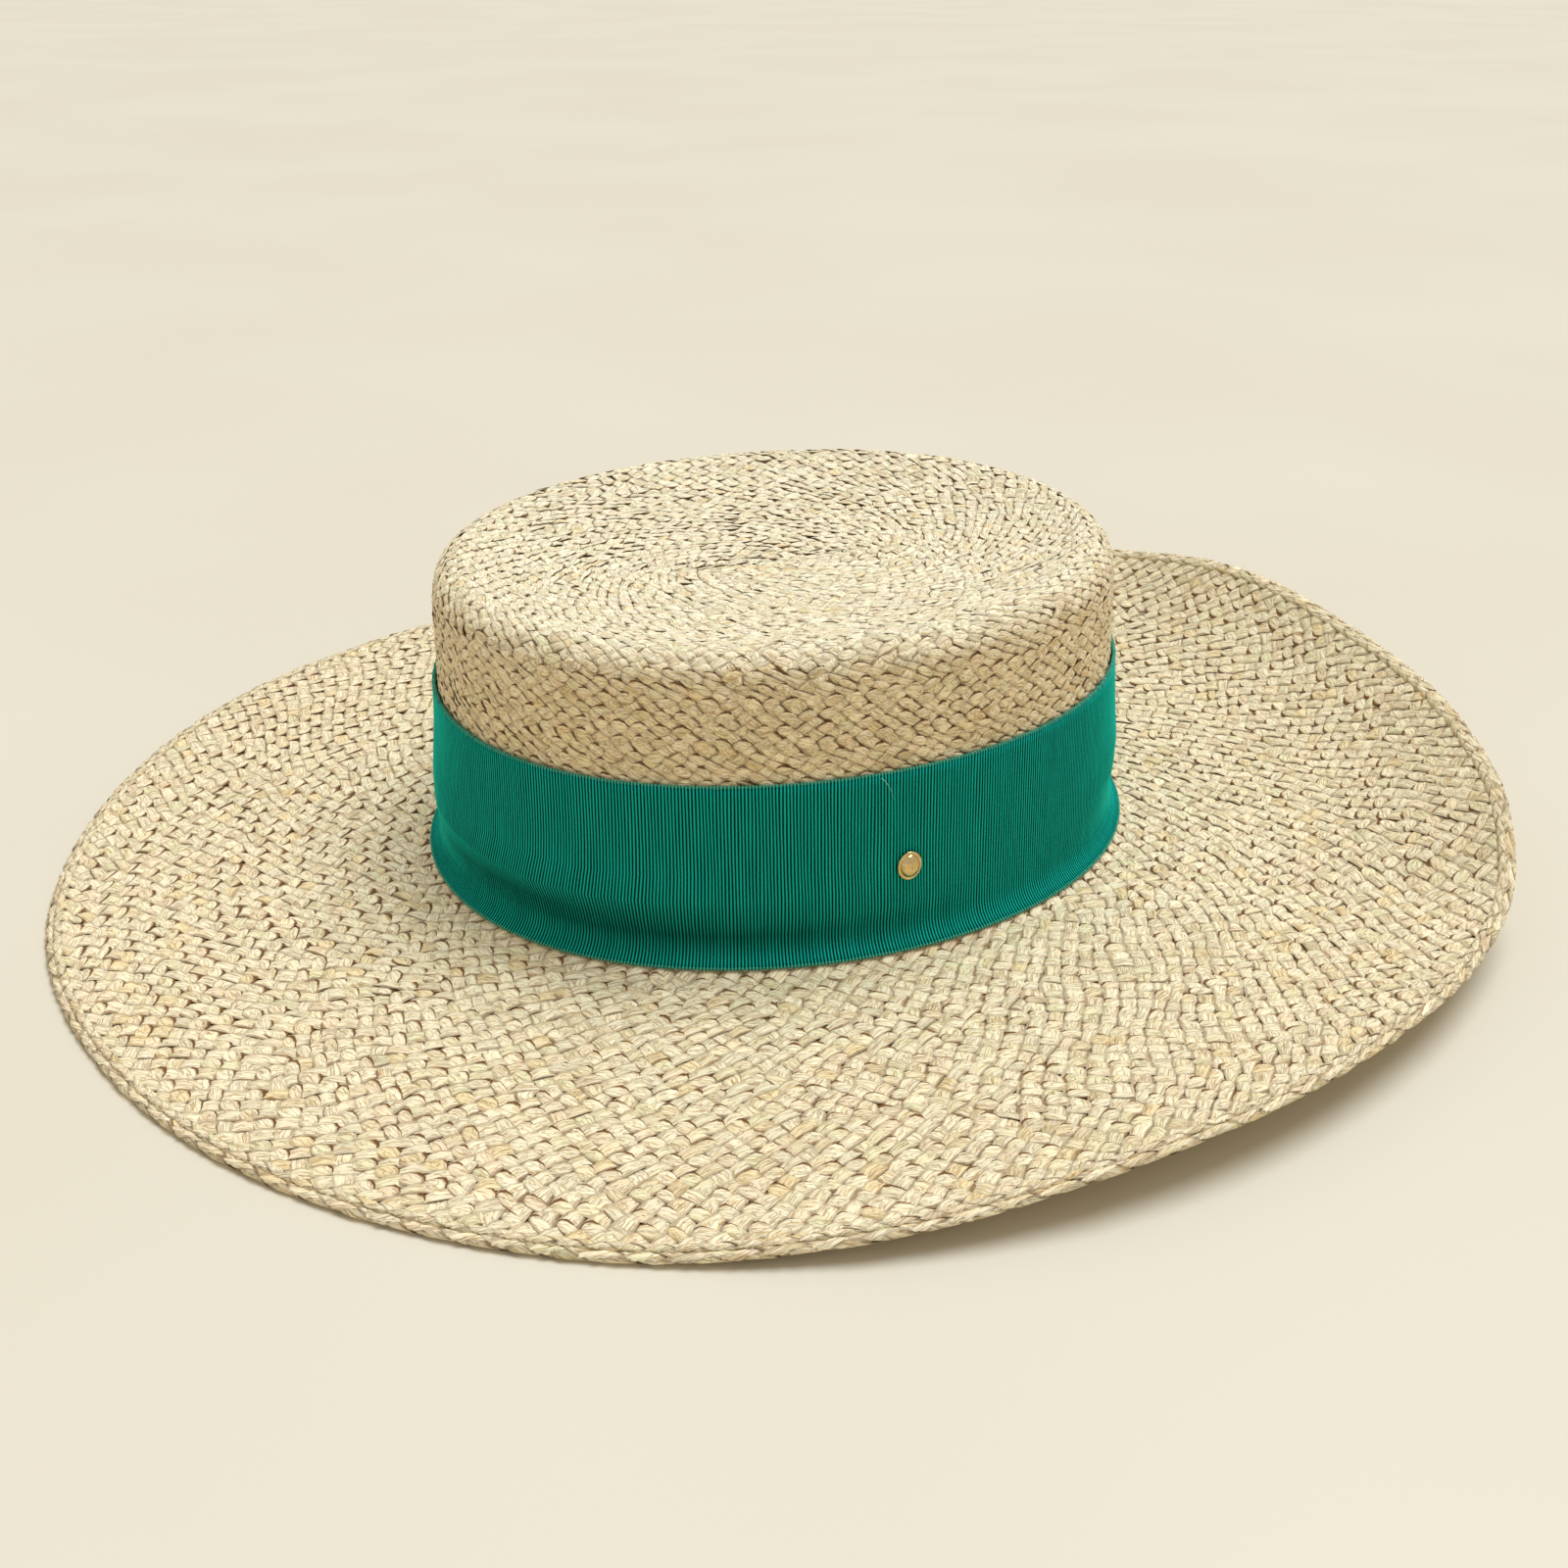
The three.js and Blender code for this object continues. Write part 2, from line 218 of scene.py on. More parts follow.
# Loose fibres of the straw: how many, and the shares of the profile where they start
FIBRE_STEPS = 6
FIBRE_THICKNESS = 0.09
FIBRE_TAPER = 0.75
BRIM_FIBRES = 420
BRIM_FIBRE_PLACES = (0.2, 0.98)
CROWN_FIBRES = 300
CROWN_FIBRE_PLACES = (0.27, 0.97)
EDGE_FIBRES = 70
EDGE_FIBRE_PLACES = (0.3, 0.6)
EDGE_FIBRE_AZIMUTHS = (30, 45)

# The thread that hangs from the ribbon's top edge
THREAD_AZIMUTH = 270.3
THREAD_SHARE = 0.99
THREAD_LIFT = 0.4
THREAD_LENGTH = 5.5
THREAD_THICKNESS = 0.13
THREAD_WAY = np.array([[0.7, -0.5, -0.5]])
THREAD_BEND = np.array([[-0.2, 0.15, -0.5]])

# The stud's profile from the middle of its back to its top: share of its half-size, and rise
STUD_TURNS = 48
STUD_PROFILE = np.array([
    (0.0, 0.0), (0.94, 0.0), (0.985, 0.06), (1.0, 0.3), (0.985, 0.52), (0.94, 0.66), (0.88, 0.7),
    (0.83, 0.66), (0.8, 0.6), (0.785, 0.62), (0.77, 0.8), (0.72, 1.12), (0.62, 1.5),
    (0.48, 1.84), (0.32, 2.06), (0.16, 2.17), (0.02, 2.2),
])

FLOOR_REACH = 15000.0

random = np.random.default_rng(20240611)


def rgb(red, green, blue):
    """A colour from display values of 0 to 255."""
    linear = [((x / 255 + 0.055) / 1.055) ** 2.4 if x > 10 else x / 255 / 12.92 for x in (red, green, blue)]
    return (*linear, 1.0)


def unit(vectors):
    return vectors / np.maximum(np.linalg.norm(vectors, axis=-1, keepdims=True), 1e-9)


def each(values):
    """One value for each strand or patch, shaped to meet the grid of its points."""
    return values[:, None, None]


def oval_point(azimuth, grow, height):
    """Points of the head oval whose outward normals have these azimuths, moved out by grow."""
    azimuth, grow, height = np.broadcast_arrays(azimuth, grow, height)
    angle = np.radians(azimuth)
    stretch = (HALF_LENGTH - HALF_WIDTH) / 2
    mean = (HALF_LENGTH + HALF_WIDTH) / 2 + CORNER_FULLNESS
    support = mean + stretch * np.cos(2 * angle) - CORNER_FULLNESS * np.cos(4 * angle) + grow
    turn = 4 * CORNER_FULLNESS * np.sin(4 * angle) - 2 * stretch * np.sin(2 * angle)
    x = support * np.cos(angle) - turn * np.sin(angle)
    y = support * np.sin(angle) + turn * np.cos(angle)
    return np.stack([x, y, height], axis=-1)


def lean_matrix():
    a = math.radians(LEAN_TO_FRONT)
    b = -math.radians(LEAN_TO_LEFT)
    about_x = np.array([[1, 0, 0], [0, math.cos(a), -math.sin(a)], [0, math.sin(a), math.cos(a)]])
    about_y = np.array([[math.cos(b), 0, math.sin(b)], [0, 1, 0], [-math.sin(b), 0, math.cos(b)]])
    return about_x @ about_y


LEAN = lean_matrix()


def leaned(points):
    """The crown leans a little, so its points are made upright and then turned."""
    return points @ LEAN.T + np.array([0, 0, FOOT_LIFT])


def crown_point(azimuth, grow, height):
    slant = 1 + HEIGHT_SLANT * np.cos(np.radians(azimuth - SLANT_AZIMUTH))
    return oval_point(azimuth, grow, height * slant)


def wall_grow(height):
    return -CROWN_TAPER * (height - FOOT_RADIUS) / (CROWN_HEIGHT - FOOT_RADIUS)


def hermite(t, start, start_tangent, end, end_tangent):
    """A smooth curve from start to end that sets off and arrives along the tangents."""
    setting_off = (1 + 2 * t) * (1 - t) ** 2 * start + t * (1 - t) ** 2 * start_tangent
    return setting_off + t**2 * (3 - 2 * t) * end + t**2 * (t - 1) * end_tangent


def brim_section(azimuth):
    """Reach, rise and slope in radians of the brim at any azimuth, on a smooth closed curve."""
    turned = np.asarray(azimuth, float) % 360
    places = BRIM_SECTIONS[:, 0]
    count = len(places)
    start = np.searchsorted(places, turned, side="right") - 1

    def place(step):
        return places[(start + step) % count] + 360 * ((start + step) // count)

    span = place(1) - place(0)
    t = (turned - place(0)) / span

    def blend(column):
        def pick(step):
            return BRIM_SECTIONS[(start + step) % count, column]

        tangent_in = (pick(1) - pick(-1)) / (place(1) - place(-1)) * span
        tangent_out = (pick(2) - pick(0)) / (place(2) - place(0)) * span
        return hermite(t, pick(0), tangent_in, pick(1), tangent_out)

    return blend(1), np.maximum(0, blend(2)), np.radians(blend(3))


def edge_centre(azimuth):
    """Reach and height of the middle of the brim's edge, and its slope in radians."""
    reach, rise, slope = brim_section(azimuth)
    return reach - EDGE_WIDTH / 2 * np.cos(slope), rise + EDGE_THICKNESS / 2, slope


class Surface:
    """A surface round the hat, known by points at even steps of azimuth and along its profile.
    facing is 1 where azimuth, profile and outward normal are right-handed, and -1 where they aren't."""

    def __init__(self, raw, steps, facing):
        lengths = np.linalg.norm(np.diff(raw, axis=1), axis=-1)
        travelled = np.hstack([np.zeros((len(raw), 1)), lengths.cumsum(axis=1)])
        even = np.empty((len(raw), steps, 3))
        for i, (line, place) in enumerate(zip(raw, travelled)):
            wanted = np.linspace(0, place[-1], steps)
            for axis in range(3):
                even[i, :, axis] = np.interp(wanted, place, line[:, axis])
        round_step = np.roll(even, -1, axis=0) - np.roll(even, 1, axis=0)
        self.points = even
        self.facing = facing
        self.normals = unit(facing * np.cross(round_step, np.gradient(even, axis=1)))

    def at(self, azimuth, along, lift):
        """Points at azimuths in degrees and fractions of the profile, lifted off the surface."""
        turns, steps = self.points.shape[:2]
        a = (np.asarray(azimuth) % 360) / 360 * turns
        s = np.clip(along, 0, 1) * (steps - 1)
        a0 = np.floor(a).astype(int)
        s0 = np.minimum(np.floor(s).astype(int), steps - 2)
        fa = (a - a0)[..., None]
        fs = (s - s0)[..., None]
        a0 %= turns
        a1 = (a0 + 1) % turns

        def blend(grid):
            low = grid[a0, s0] * (1 - fa) + grid[a1, s0] * fa
            high = grid[a0, s0 + 1] * (1 - fa) + grid[a1, s0 + 1] * fa
            return low * (1 - fs) + high * fs

        return blend(self.points) + unit(blend(self.normals)) * np.asarray(lift)[..., None]

    def ring(self, along):
        """Azimuths and the share of the way round that each reaches, with the ring's length."""
        azimuth = np.linspace(0, 360, len(self.points) + 1)
        ring = self.at(azimuth, np.full_like(azimuth, along), np.zeros_like(azimuth))
        steps = np.linalg.norm(np.diff(ring, axis=0), axis=-1)
        travelled = np.concatenate([[0], steps.cumsum()])
        return azimuth, travelled / travelled[-1], travelled[-1]


def turn_column():
    return (np.arange(TURN_STEPS) * 360 / TURN_STEPS)[:, None]


def brim_surface():
    """Upper face of the brim, from the top of its collar down, round and out to the edge."""
    azimuth = turn_column()
    heights = np.linspace(COLLAR_HEIGHT, FOOT_RADIUS, 5)[None, :-1]
    collar = leaned(crown_point(azimuth, wall_grow(heights), heights))
    bend = np.radians(np.linspace(0, 90, 13))[None, :-1]
    grow = FOOT_RADIUS * (1 - np.cos(bend))
    fillet = leaned(oval_point(azimuth, grow, FOOT_RADIUS * (1 - np.sin(bend))))
    distance, height, slope = edge_centre(azimuth)
    back = EDGE_WIDTH / 2 + GAP
    outer = distance - back * np.cos(slope) - STRAW / 2 * np.sin(slope)
    outer_height = height - back * np.sin(slope) + STRAW / 2 * np.cos(slope)
    foot = leaned(oval_point(azimuth, FOOT_RADIUS, 0.0))[..., 2]
    further = leaned(oval_point(azimuth, FOOT_RADIUS + 1, 0.0))[..., 2]
    span = outer - FOOT_RADIUS
    t = np.linspace(0, 1, 60)[None, :]
    rise = hermite(t, foot, (further - foot) * span, outer_height, np.tan(slope) * span)
    plain = oval_point(azimuth, FOOT_RADIUS + span * t, rise)
    tuck = oval_point(
        azimuth, outer + EDGE_TUCK * np.cos(slope), outer_height + EDGE_TUCK * np.sin(slope)
    )
    return Surface(np.hstack([collar, fillet, plain, tuck]), BRIM_STEPS, -1)


def crown_surface():
    """Outer face of the crown, up the wall, over the rim and in to a short line at its middle."""
    azimuth = turn_column()
    heights = np.linspace(COLLAR_HEIGHT + GAP, CROWN_HEIGHT - RIM_RADIUS, 25)[None, :-1]
    wall = crown_point(azimuth, wall_grow(heights), heights)
    rim_grow = wall_grow(CROWN_HEIGHT) - RIM_RADIUS
    rim_height = CROWN_HEIGHT - RIM_RADIUS
    bend = np.radians(np.linspace(0, RIM_SWEEP, 17))[None, :]
    rim = crown_point(azimuth, rim_grow + RIM_RADIUS * np.cos(bend), rim_height + RIM_RADIUS * np.sin(bend))
    lip = rim[:, -1]
    lip_grow = rim_grow + RIM_RADIUS * math.cos(math.radians(RIM_SWEEP))
    grow = np.linspace(lip_grow, LAST_RING, 50)[None, 1:]
    rings = oval_point(azimuth, grow, 0.0)[..., :2]
    last = rings[:, -1:]
    middle = last * np.array([LINE_SHARE, 0.0])
    t = np.linspace(0, 1, 8)[None, 1:, None]
    plan = np.hstack([rings, last * (1 - t) + middle * t])
    polar = np.degrees(np.arctan2(lip[:, 1], lip[:, 0])) % 360
    order = np.argsort(polar)
    where = np.degrees(np.arctan2(plan[..., 1], plan[..., 0])) % 360
    lip_reach = np.interp(where, polar[order], np.hypot(lip[:, 0], lip[:, 1])[order], period=360)
    lip_height = np.interp(where, polar[order], lip[order, 2], period=360)
    left = np.hypot(plan[..., 0], plan[..., 1]) / lip_reach
    centre = rim_height + RIM_RADIUS * math.sin(math.radians(RIM_SWEEP))
    height = centre + (lip_height - centre) * left - DISH_DEPTH * (1 - left**DISH_POWER)
    dish = np.concatenate([plan, height[..., None]], axis=-1)
    made = Surface(leaned(np.hstack([wall, rim, dish])), CROWN_STEPS, 1)
    made.normals[:, -FLAT_STEPS:] = LEAN @ np.array([0.0, 0.0, 1.0])
    return made


def edge_surface(half_width, half_height, out, up):
    """A rounded bead that follows the end of the brim, offset out and up in the edge's own slope."""
    azimuth = turn_column()
    distance, height, slope = edge_centre(azimuth)
    turn = np.radians(np.linspace(200, -160, 49))[None, :]
    outward = out + half_width * np.cos(turn)
    upward = up + half_height * np.sin(turn)
    grow = distance + outward * np.cos(slope) - upward * np.sin(slope)
    rise = height + outward * np.sin(slope) + upward * np.cos(slope)
    return Surface(oval_point(azimuth, grow, rise), BEAD_STEPS, -1)


def link_object(name, data):
    made = bpy.data.objects.new(name, data)
    bpy.context.scene.collection.objects.link(made)
    return made


def make_mesh(name, points, faces, material, smooth=True):
    """A mesh object from points in millimetres round the head oval's centre, and faces of equal size."""
    points = (np.asarray(points).reshape(-1, 3) + HAT_SHIFT) * MM
    faces = np.asarray(faces, np.int32)
    mesh = bpy.data.meshes.new(name)
    mesh.vertices.add(len(points))
    mesh.vertices.foreach_set("co", points.astype(np.float32).ravel())
    mesh.loops.add(faces.size)
    mesh.loops.foreach_set("vertex_index", faces.ravel())
    mesh.polygons.add(len(faces))
    mesh.polygons.foreach_set("loop_start", np.arange(0, faces.size, faces.shape[1], dtype=np.int32))
    mesh.update(calc_edges=True)
    mesh.validate()
    if smooth:
        mesh.shade_smooth()
    mesh.materials.append(material)
    return link_object(name, mesh)


def put_vectors(obj, name, values):
    layer = obj.data.attributes.new(name, "FLOAT_VECTOR", "POINT")
    layer.data.foreach_set("vector", np.asarray(values, np.float32).ravel())


def put_colours(obj, name, values):
    values = np.hstack([values, np.ones((len(values), 1))])
    layer = obj.data.attributes.new(name, "FLOAT_COLOR", "POINT")
    layer.data.foreach_set("color", np.asarray(values, np.float32).ravel())


def put_map(obj, places):
    """The map that the materials are baked through, from one place for each point."""
    layer = obj.data.uv_layers.new(name="OFBake")
    corners = np.empty(len(obj.data.loops), np.int32)
    obj.data.loops.foreach_get("vertex_index", corners)
    layer.uv.foreach_set("vector", np.asarray(places, np.float32)[corners].ravel())


def patch_faces(patches, rows, columns, flip):
    """Quads of many grids of points, each rows by columns; flip turns them over."""
    grid = np.arange(rows * columns).reshape(rows, columns)
    quads = np.stack([grid[:-1, :-1], grid[1:, :-1], grid[1:, 1:], grid[:-1, 1:]], axis=-1).reshape(-1, 4)
    faces = quads[None] + each(np.arange(patches) * rows * columns)
    return (faces[..., ::-1] if flip else faces).reshape(-1, 4)


def patch_map(patches, rows, columns):
    """Places on the bake's map, where each patch has a square of its own."""
    side = math.ceil(math.sqrt(patches))
    v, u = np.meshgrid(np.linspace(0.06, 0.94, columns), np.linspace(0.06, 0.94, rows))
    number = np.arange(patches)
    x = each(number % side) + u
    y = each(number // side) + v
    return np.stack([x, y], axis=-1).reshape(-1, 2) / side


def strip_map(share, down, strips):
    """Places on the bake's map of a long piece, whose strips lie one over another."""
    strip = np.minimum(share * strips, strips - 1e-6)
    across = 0.01 + 0.98 * (strip % 1)
    return np.stack([across, (np.floor(strip) + down) / strips], axis=-1).reshape(-1, 2)


def stand_for(node, slot, *pieces):
    """Pieces that take the place of one node of the solid model."""
    for piece in pieces:
        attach(piece, "root")
        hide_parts(node)


def braid_gaps(surface, row_count, pitch):
    """Where the cells of each row meet: azimuths in rising order, and places along the profile.
    The two rows of a braid have equally many cells, half a cell apart."""
    gaps = []
    for row in range(row_count):
        if row % 2 == 0:
            middle = min((row + 1) / row_count, 1 - 0.5 / row_count)
            count = max(FEWEST_CELLS, round(surface.ring(middle)[2] / pitch))
            phase = random.random()
        azimuth, share, _ = surface.ring((row + 0.5) / row_count)
        uneven = random.normal(0, GAP_SPREAD, count)
        wanted = (np.arange(count) + phase + 0.5 * (row % 2) + uneven) / count
        places = np.sort(np.interp(wanted % 1, share, azimuth))
        along = (row + 0.5 + random.normal(0, ROW_SPREAD, count)) / row_count
        gaps.append((places, along))
    return gaps


def nearest(gaps, azimuth):
    """The gap nearest to each azimuth, as an unwrapped azimuth and a place along the profile."""
    places, along = gaps
    wide = np.concatenate([places[-1:] - 360, places, places[:1] + 360])
    wide_along = np.concatenate([along[-1:], along, along[:1]])
    after = np.clip(np.searchsorted(wide, azimuth), 1, len(wide) - 1)
    closer = np.where(azimuth - wide[after - 1] < wide[after] - azimuth, after - 1, after)
    return wide[closer], wide_along[closer]


def weave_cells(surface, gaps, rows):
    """Corners of the cells as (azimuth, place) pairs: left, top, right and bottom, with each cell's row."""
    row_count = len(gaps)
    corners = []
    owners = []
    for row in rows:
        places, along = gaps[row]
        left = np.stack([places, along], axis=-1)
        right = np.stack([np.append(places[1:], places[0] + 360), np.roll(along, -1)], axis=-1)
        centre = (left[:, 0] + right[:, 0]) / 2
        beyond = []
        for step in (1, -1):
            if 0 <= row + step < row_count:
                beyond.append(np.stack(nearest(gaps[row + step], centre), axis=-1))
            else:
                place = np.full_like(centre, (row + 0.5 + step) / row_count)
                beyond.append(np.stack([centre, place], axis=-1))
        corners.append(np.stack([left, beyond[0], right, beyond[1]], axis=1))
        owners.append(np.full(len(places), row))
    return np.concatenate(corners), np.concatenate(owners)


def hump(v):
    return 4 * v * (1 - v)


def spread(size, count):
    return each(random.normal(0, size, count))


def strand_shares(count, style):
    """Shares along and across each strand of its points, and where they lie across its cell."""
    along = style["along"]
    across = style["across"]
    u = np.broadcast_to(along[None, :, None], (count, len(along), len(across)))
    v = np.broadcast_to(across[None, None, :], u.shape)
    u = 0.5 + (u - 0.5) * (1 + each(random.uniform(-LENGTH_SPREAD, LENGTH_SPREAD, count)))
    width = style["width"] + spread(style["width_spread"], count)
    shift = spread(SHIFT_SPREAD, count)
    crease = each(random.uniform(-CREASE_SPREAD, CREASE_SPREAD, count))
    squeeze = 1 - style["pinch"] * np.minimum(1, (2 * u - 1) ** 2)
    return u, v, 0.5 + shift + (v - 0.5 + crease * hump(v)) * width * squeeze


def strand_places(corners, odd, u, spot):
    """Azimuths and places of strands, which cross their cells one way in odd rows and another in even."""
    left, top, right, bottom = (corners[:, i] for i in range(4))

    def pick(in_odd, in_even):
        return each(np.where(odd[:, None], in_odd, in_even))

    uu = u[..., None]
    vv = spot[..., None]
    low = pick(left, bottom) * (1 - uu) + pick(bottom, right) * uu
    high = pick(top, left) * (1 - uu) + pick(right, top) * uu
    return low * (1 - vv) + high * vv


def pad_places(corners, across_cell, spot, row_count, style):
    """Azimuths and places of rounded pads, each from one side of its cell to the other."""
    order = (0, 2, 3, 1) if style["outward"] else (2, 0, 1, 3)
    first, last, inner, outer = (corners[:, None, None, i] for i in order)
    lens = np.sqrt(np.clip(1 - PAD_CLOSE * (2 * across_cell - 1) ** 2, 0, 1))
    skew = each(random.normal(*PAD_SKEW, len(corners))) * (2 * across_cell - 1) / row_count
    share = across_cell[..., None]
    half = ((spot - 0.5) * lens * style["pad_height"])[..., None]
    slant = np.stack([np.zeros_like(skew), skew], axis=-1)
    return first * (1 - share) + last * share + (outer - inner) * half + slant


def strand_lift(owners, pads, u, v, across_cell, outward, style):
    """Heights of the strands' points: each is domed, some are folded, and all are a little uneven."""
    count = len(owners)
    arch = np.where(pads, np.sin(np.pi * across_cell) ** PAD_POWER, np.cos(np.pi * (u - 0.5)))
    folded = each(random.random(count) < style["folded"])
    fold = each(random.uniform(*FOLD_DEPTHS, count)) * np.clip(1 - np.abs(v - 0.5) / FOLD_HALF_WIDTH, 0, 1)
    profile = np.where(folded, hump(v) * FOLD_SIDES - fold, hump(v))
    amplitude = style["arch"] * (1 + spread(ARCH_SPREAD, count))
    tilt = spread(style["tilt"], count) * (2 * v - 1)
    pitch = spread(style["tilt"], count) * (2 * u - 1) * 0.5
    rough = random.normal(0, style["rough"], u.shape)
    step = style["braid_step"] * each(np.where(owners % 2 == 1, 0.5, -0.5))
    raise_by = spread(RAISE_SPREAD, count)
    shingle = -outward * np.where(pads, style["pad_tilt"], style["shingle"])
    dome = amplitude * arch + style["bulge"] * profile * (0.45 + 0.55 * arch)
    return dome + tilt + pitch + rough + step + raise_by + shingle


def strand_tones(reach, style):
    """A factor of the straw's colour for each strand: a tone at random, made paler as painted light by how
    far along the profile its row lies.
    """
    count = len(reach)
    tone = TONES[random.choice(len(TONES), count, p=TONE_SHARES)]
    tone = tone * random.normal(1, TONE_SPREAD, count)[:, None]
    start, end = style["painted_top_light"]
    # Painted light: strands on the top are made paler and cooler
    top_light_share = np.clip((reach - start) / (end - start), 0, 1)[:, None]
    return tone * (1 + top_light_share * (PAINTED_TOP_LIGHT_TONE - 1))


def make_weave(name, surface, gaps, rows, style, material):
    """Plaited straw as one domed patch for each strand that shows, its ends tucked under its neighbours.
    Even rows lean one way and odd rows the other way. In some styles most strands of even rows are rounded
    pads, which have the upper half of the seeds."""
    corners, owners = weave_cells(surface, gaps, rows)
    row_count = len(gaps)
    odd = owners % 2 == 1
    along = style["along"]
    u, v, spot = strand_shares(len(corners), style)
    pads = each(~odd & (random.random(len(corners)) < style["pads"]))
    across_cell = np.clip((u - along[0]) / (along[-1] - along[0]), 0, 1)
    rounded = pad_places(corners, across_cell, spot, row_count, style)
    place = np.where(pads[..., None], rounded, strand_places(corners, odd, u, spot))
    outward = place[..., 1] * row_count - each(owners + 0.5)
    lift = strand_lift(owners, pads, u, v, across_cell, outward, style)
    side = style["side"]
    points = surface.at(place[..., 0], place[..., 1], style["base"] + side * lift)

    made = make_mesh(name, points, patch_faces(*u.shape, side * surface.facing < 0), material)
    drawn = each(random.random(len(corners)))
    seed = np.broadcast_to(np.where(pads, 0.5 + 0.5 * drawn, 0.5 * drawn), u.shape)
    put_vectors(made, "strand", np.stack([u, v, seed], axis=-1))
    tone = strand_tones(owners / row_count, style)
    put_colours(made, "tint", np.repeat(tone, u.shape[1] * u.shape[2], axis=0))
    put_map(made, patch_map(*u.shape))
    return made


def make_core(name, surface, end, turns, material):
    """A thin closed sheet in the middle of the straw, up to an end share of the profile."""
    azimuth = (np.arange(turns) * 360 / turns)[:, None]
    azimuth, place = np.broadcast_arrays(azimuth, np.linspace(0, end, CORE_STEPS)[None, :])
    upper = surface.at(azimuth, place, np.full(place.shape, -STRAW / 2 + CORE_HALF))
    lower = surface.at(azimuth, place, np.full(place.shape, -STRAW / 2 - CORE_HALF))
    return make_ring(name, np.hstack([upper, lower[:, ::-1]]), material)


def tube_faces(rows, count):
    """Numbers of the points of an open tube, row by row, and the quads between its rows."""
    grid = np.arange(rows * count).reshape(rows, count)
    following = np.roll(grid, -1, axis=1)
    sides = np.stack([grid[:-1], grid[1:], following[1:], following[:-1]], axis=-1).reshape(-1, 4)
    return grid, sides


def make_ring(name, loops, material):
    """A closed ring through loops of points, the last joined to the first."""
    turns, count = loops.shape[:2]
    grid = np.arange(turns * count).reshape(turns, count)
    following = np.roll(grid, -1, axis=0)
    faces = np.stack([grid, following, np.roll(following, -1, axis=1), np.roll(grid, -1, axis=1)], axis=-1)
    return make_mesh(name, loops, faces.reshape(-1, 4), material)


def band_lift(azimuth, height):
    """How far the ribbon stands off the straw at a place."""
    lift = 0.0
    for fold_azimuth, fold_height, half_angle, half_height, fold_lift in BAND_FOLDS:
        across = (azimuth - fold_azimuth) / half_angle
        up = (height - fold_height) / half_height
        lift = lift + fold_lift * np.exp(-(across**2) - up**2)
    return lift


def band_point(azimuth, share, stand_off):
    """A point of the ribbon at a share of its width, from its foot on the brim to its top edge."""
    foot_length = FOOT_RADIUS * math.radians(BAND_FOOT_TURN)
    length = foot_length + BAND_TOP - FOOT_RADIUS
    climbed = share * length
    turned = azimuth % 360
    bend = np.radians(BAND_FOOT_TURN) * np.clip(1 - climbed / foot_length, 0, 1)
    radius = FOOT_RADIUS - stand_off
    foot_height = FOOT_RADIUS - radius * np.sin(bend)
    foot_grow = FOOT_RADIUS - radius * np.cos(bend) + band_lift(turned, foot_height)
    height = FOOT_RADIUS + np.maximum(0, climbed - foot_length)
    wall = wall_grow(height) + stand_off + band_lift(turned, height)
    on_foot = climbed < foot_length
    upright = crown_point(turned, wall, height)
    curved = oval_point(turned, foot_grow, foot_height)
    return leaned(np.where(on_foot[..., None], curved, upright))


def band_stand_off(azimuth):
    """The ribbon's end laps over its start, so it steps out before the lap."""
    before = BAND_LAP_AZIMUTH - 2
    t = np.clip((azimuth - (before - BAND_LAP_RAMP)) / BAND_LAP_RAMP, 0, 1)
    return GAP + t**2 * (3 - 2 * t) * (BAND_THICKNESS + GAP)


def rib_azimuths():
    """Azimuths of the columns of points along the ribbon, RIB_STEPS for each rib."""
    azimuth = np.linspace(BAND_LAP_AZIMUTH - 360, BAND_LAP_AZIMUTH + BAND_LAP_ANGLE, 2000)
    line = band_point(azimuth, np.full_like(azimuth, RIB_LINE), band_stand_off(azimuth))
    travelled = np.concatenate([[0], np.linalg.norm(np.diff(line, axis=0), axis=-1).cumsum()])
    ribs = round(travelled[-1] / RIB_PITCH)
    wanted = np.linspace(0, travelled[-1], ribs * RIB_STEPS + 1)
    return np.interp(wanted, travelled, azimuth), np.arange(len(wanted)) / RIB_STEPS, travelled[-1]


def waver(place, share, size):
    """A slow unevenness along the ribbon, for ribs that aren't quite straight."""
    total = 0.0
    for turns, climb, phase in WAVES:
        total = total + np.sin(place * turns / WAVE_SPAN + share * climb + phase)
    return size * total / len(WAVES)


def wavered(azimuth, rib, share):
    """Azimuths of the ribs, a little uneven except at the ribbon's foot."""
    return azimuth + waver(rib, 2 * share, RIB_WAVER) * np.minimum(1, 4 * share)


def fold_wave(fold, azimuth, share, below=0.0):
    """A slanting wave of the ribbon, as a share of its height; below moves it down by its own breadths."""
    start, end, low, high, breadth, _ = fold
    t = np.clip((azimuth % 360 - start) / (end - start), 0, 1)
    line = low + (high - low) * t - below * breadth
    return np.sin(np.pi * t) * np.exp(-(((share - line) / breadth) ** 2))


def soft_fold(azimuth, share):
    """Shallow slanting waves of the ribbon, which fade out at its edges."""
    total = sum(fold[-1] * fold_wave(fold, azimuth, share) for fold in SOFT_FOLDS)
    return total * np.sin(np.pi * share)


def fold_painted_shade(azimuth, share):
    """How far the ribbon is tucked in under its largest wave, where painted shade darkens the cloth."""
    return fold_wave(SOFT_FOLDS[0], azimuth, share, PAINTED_SHADE_BELOW)


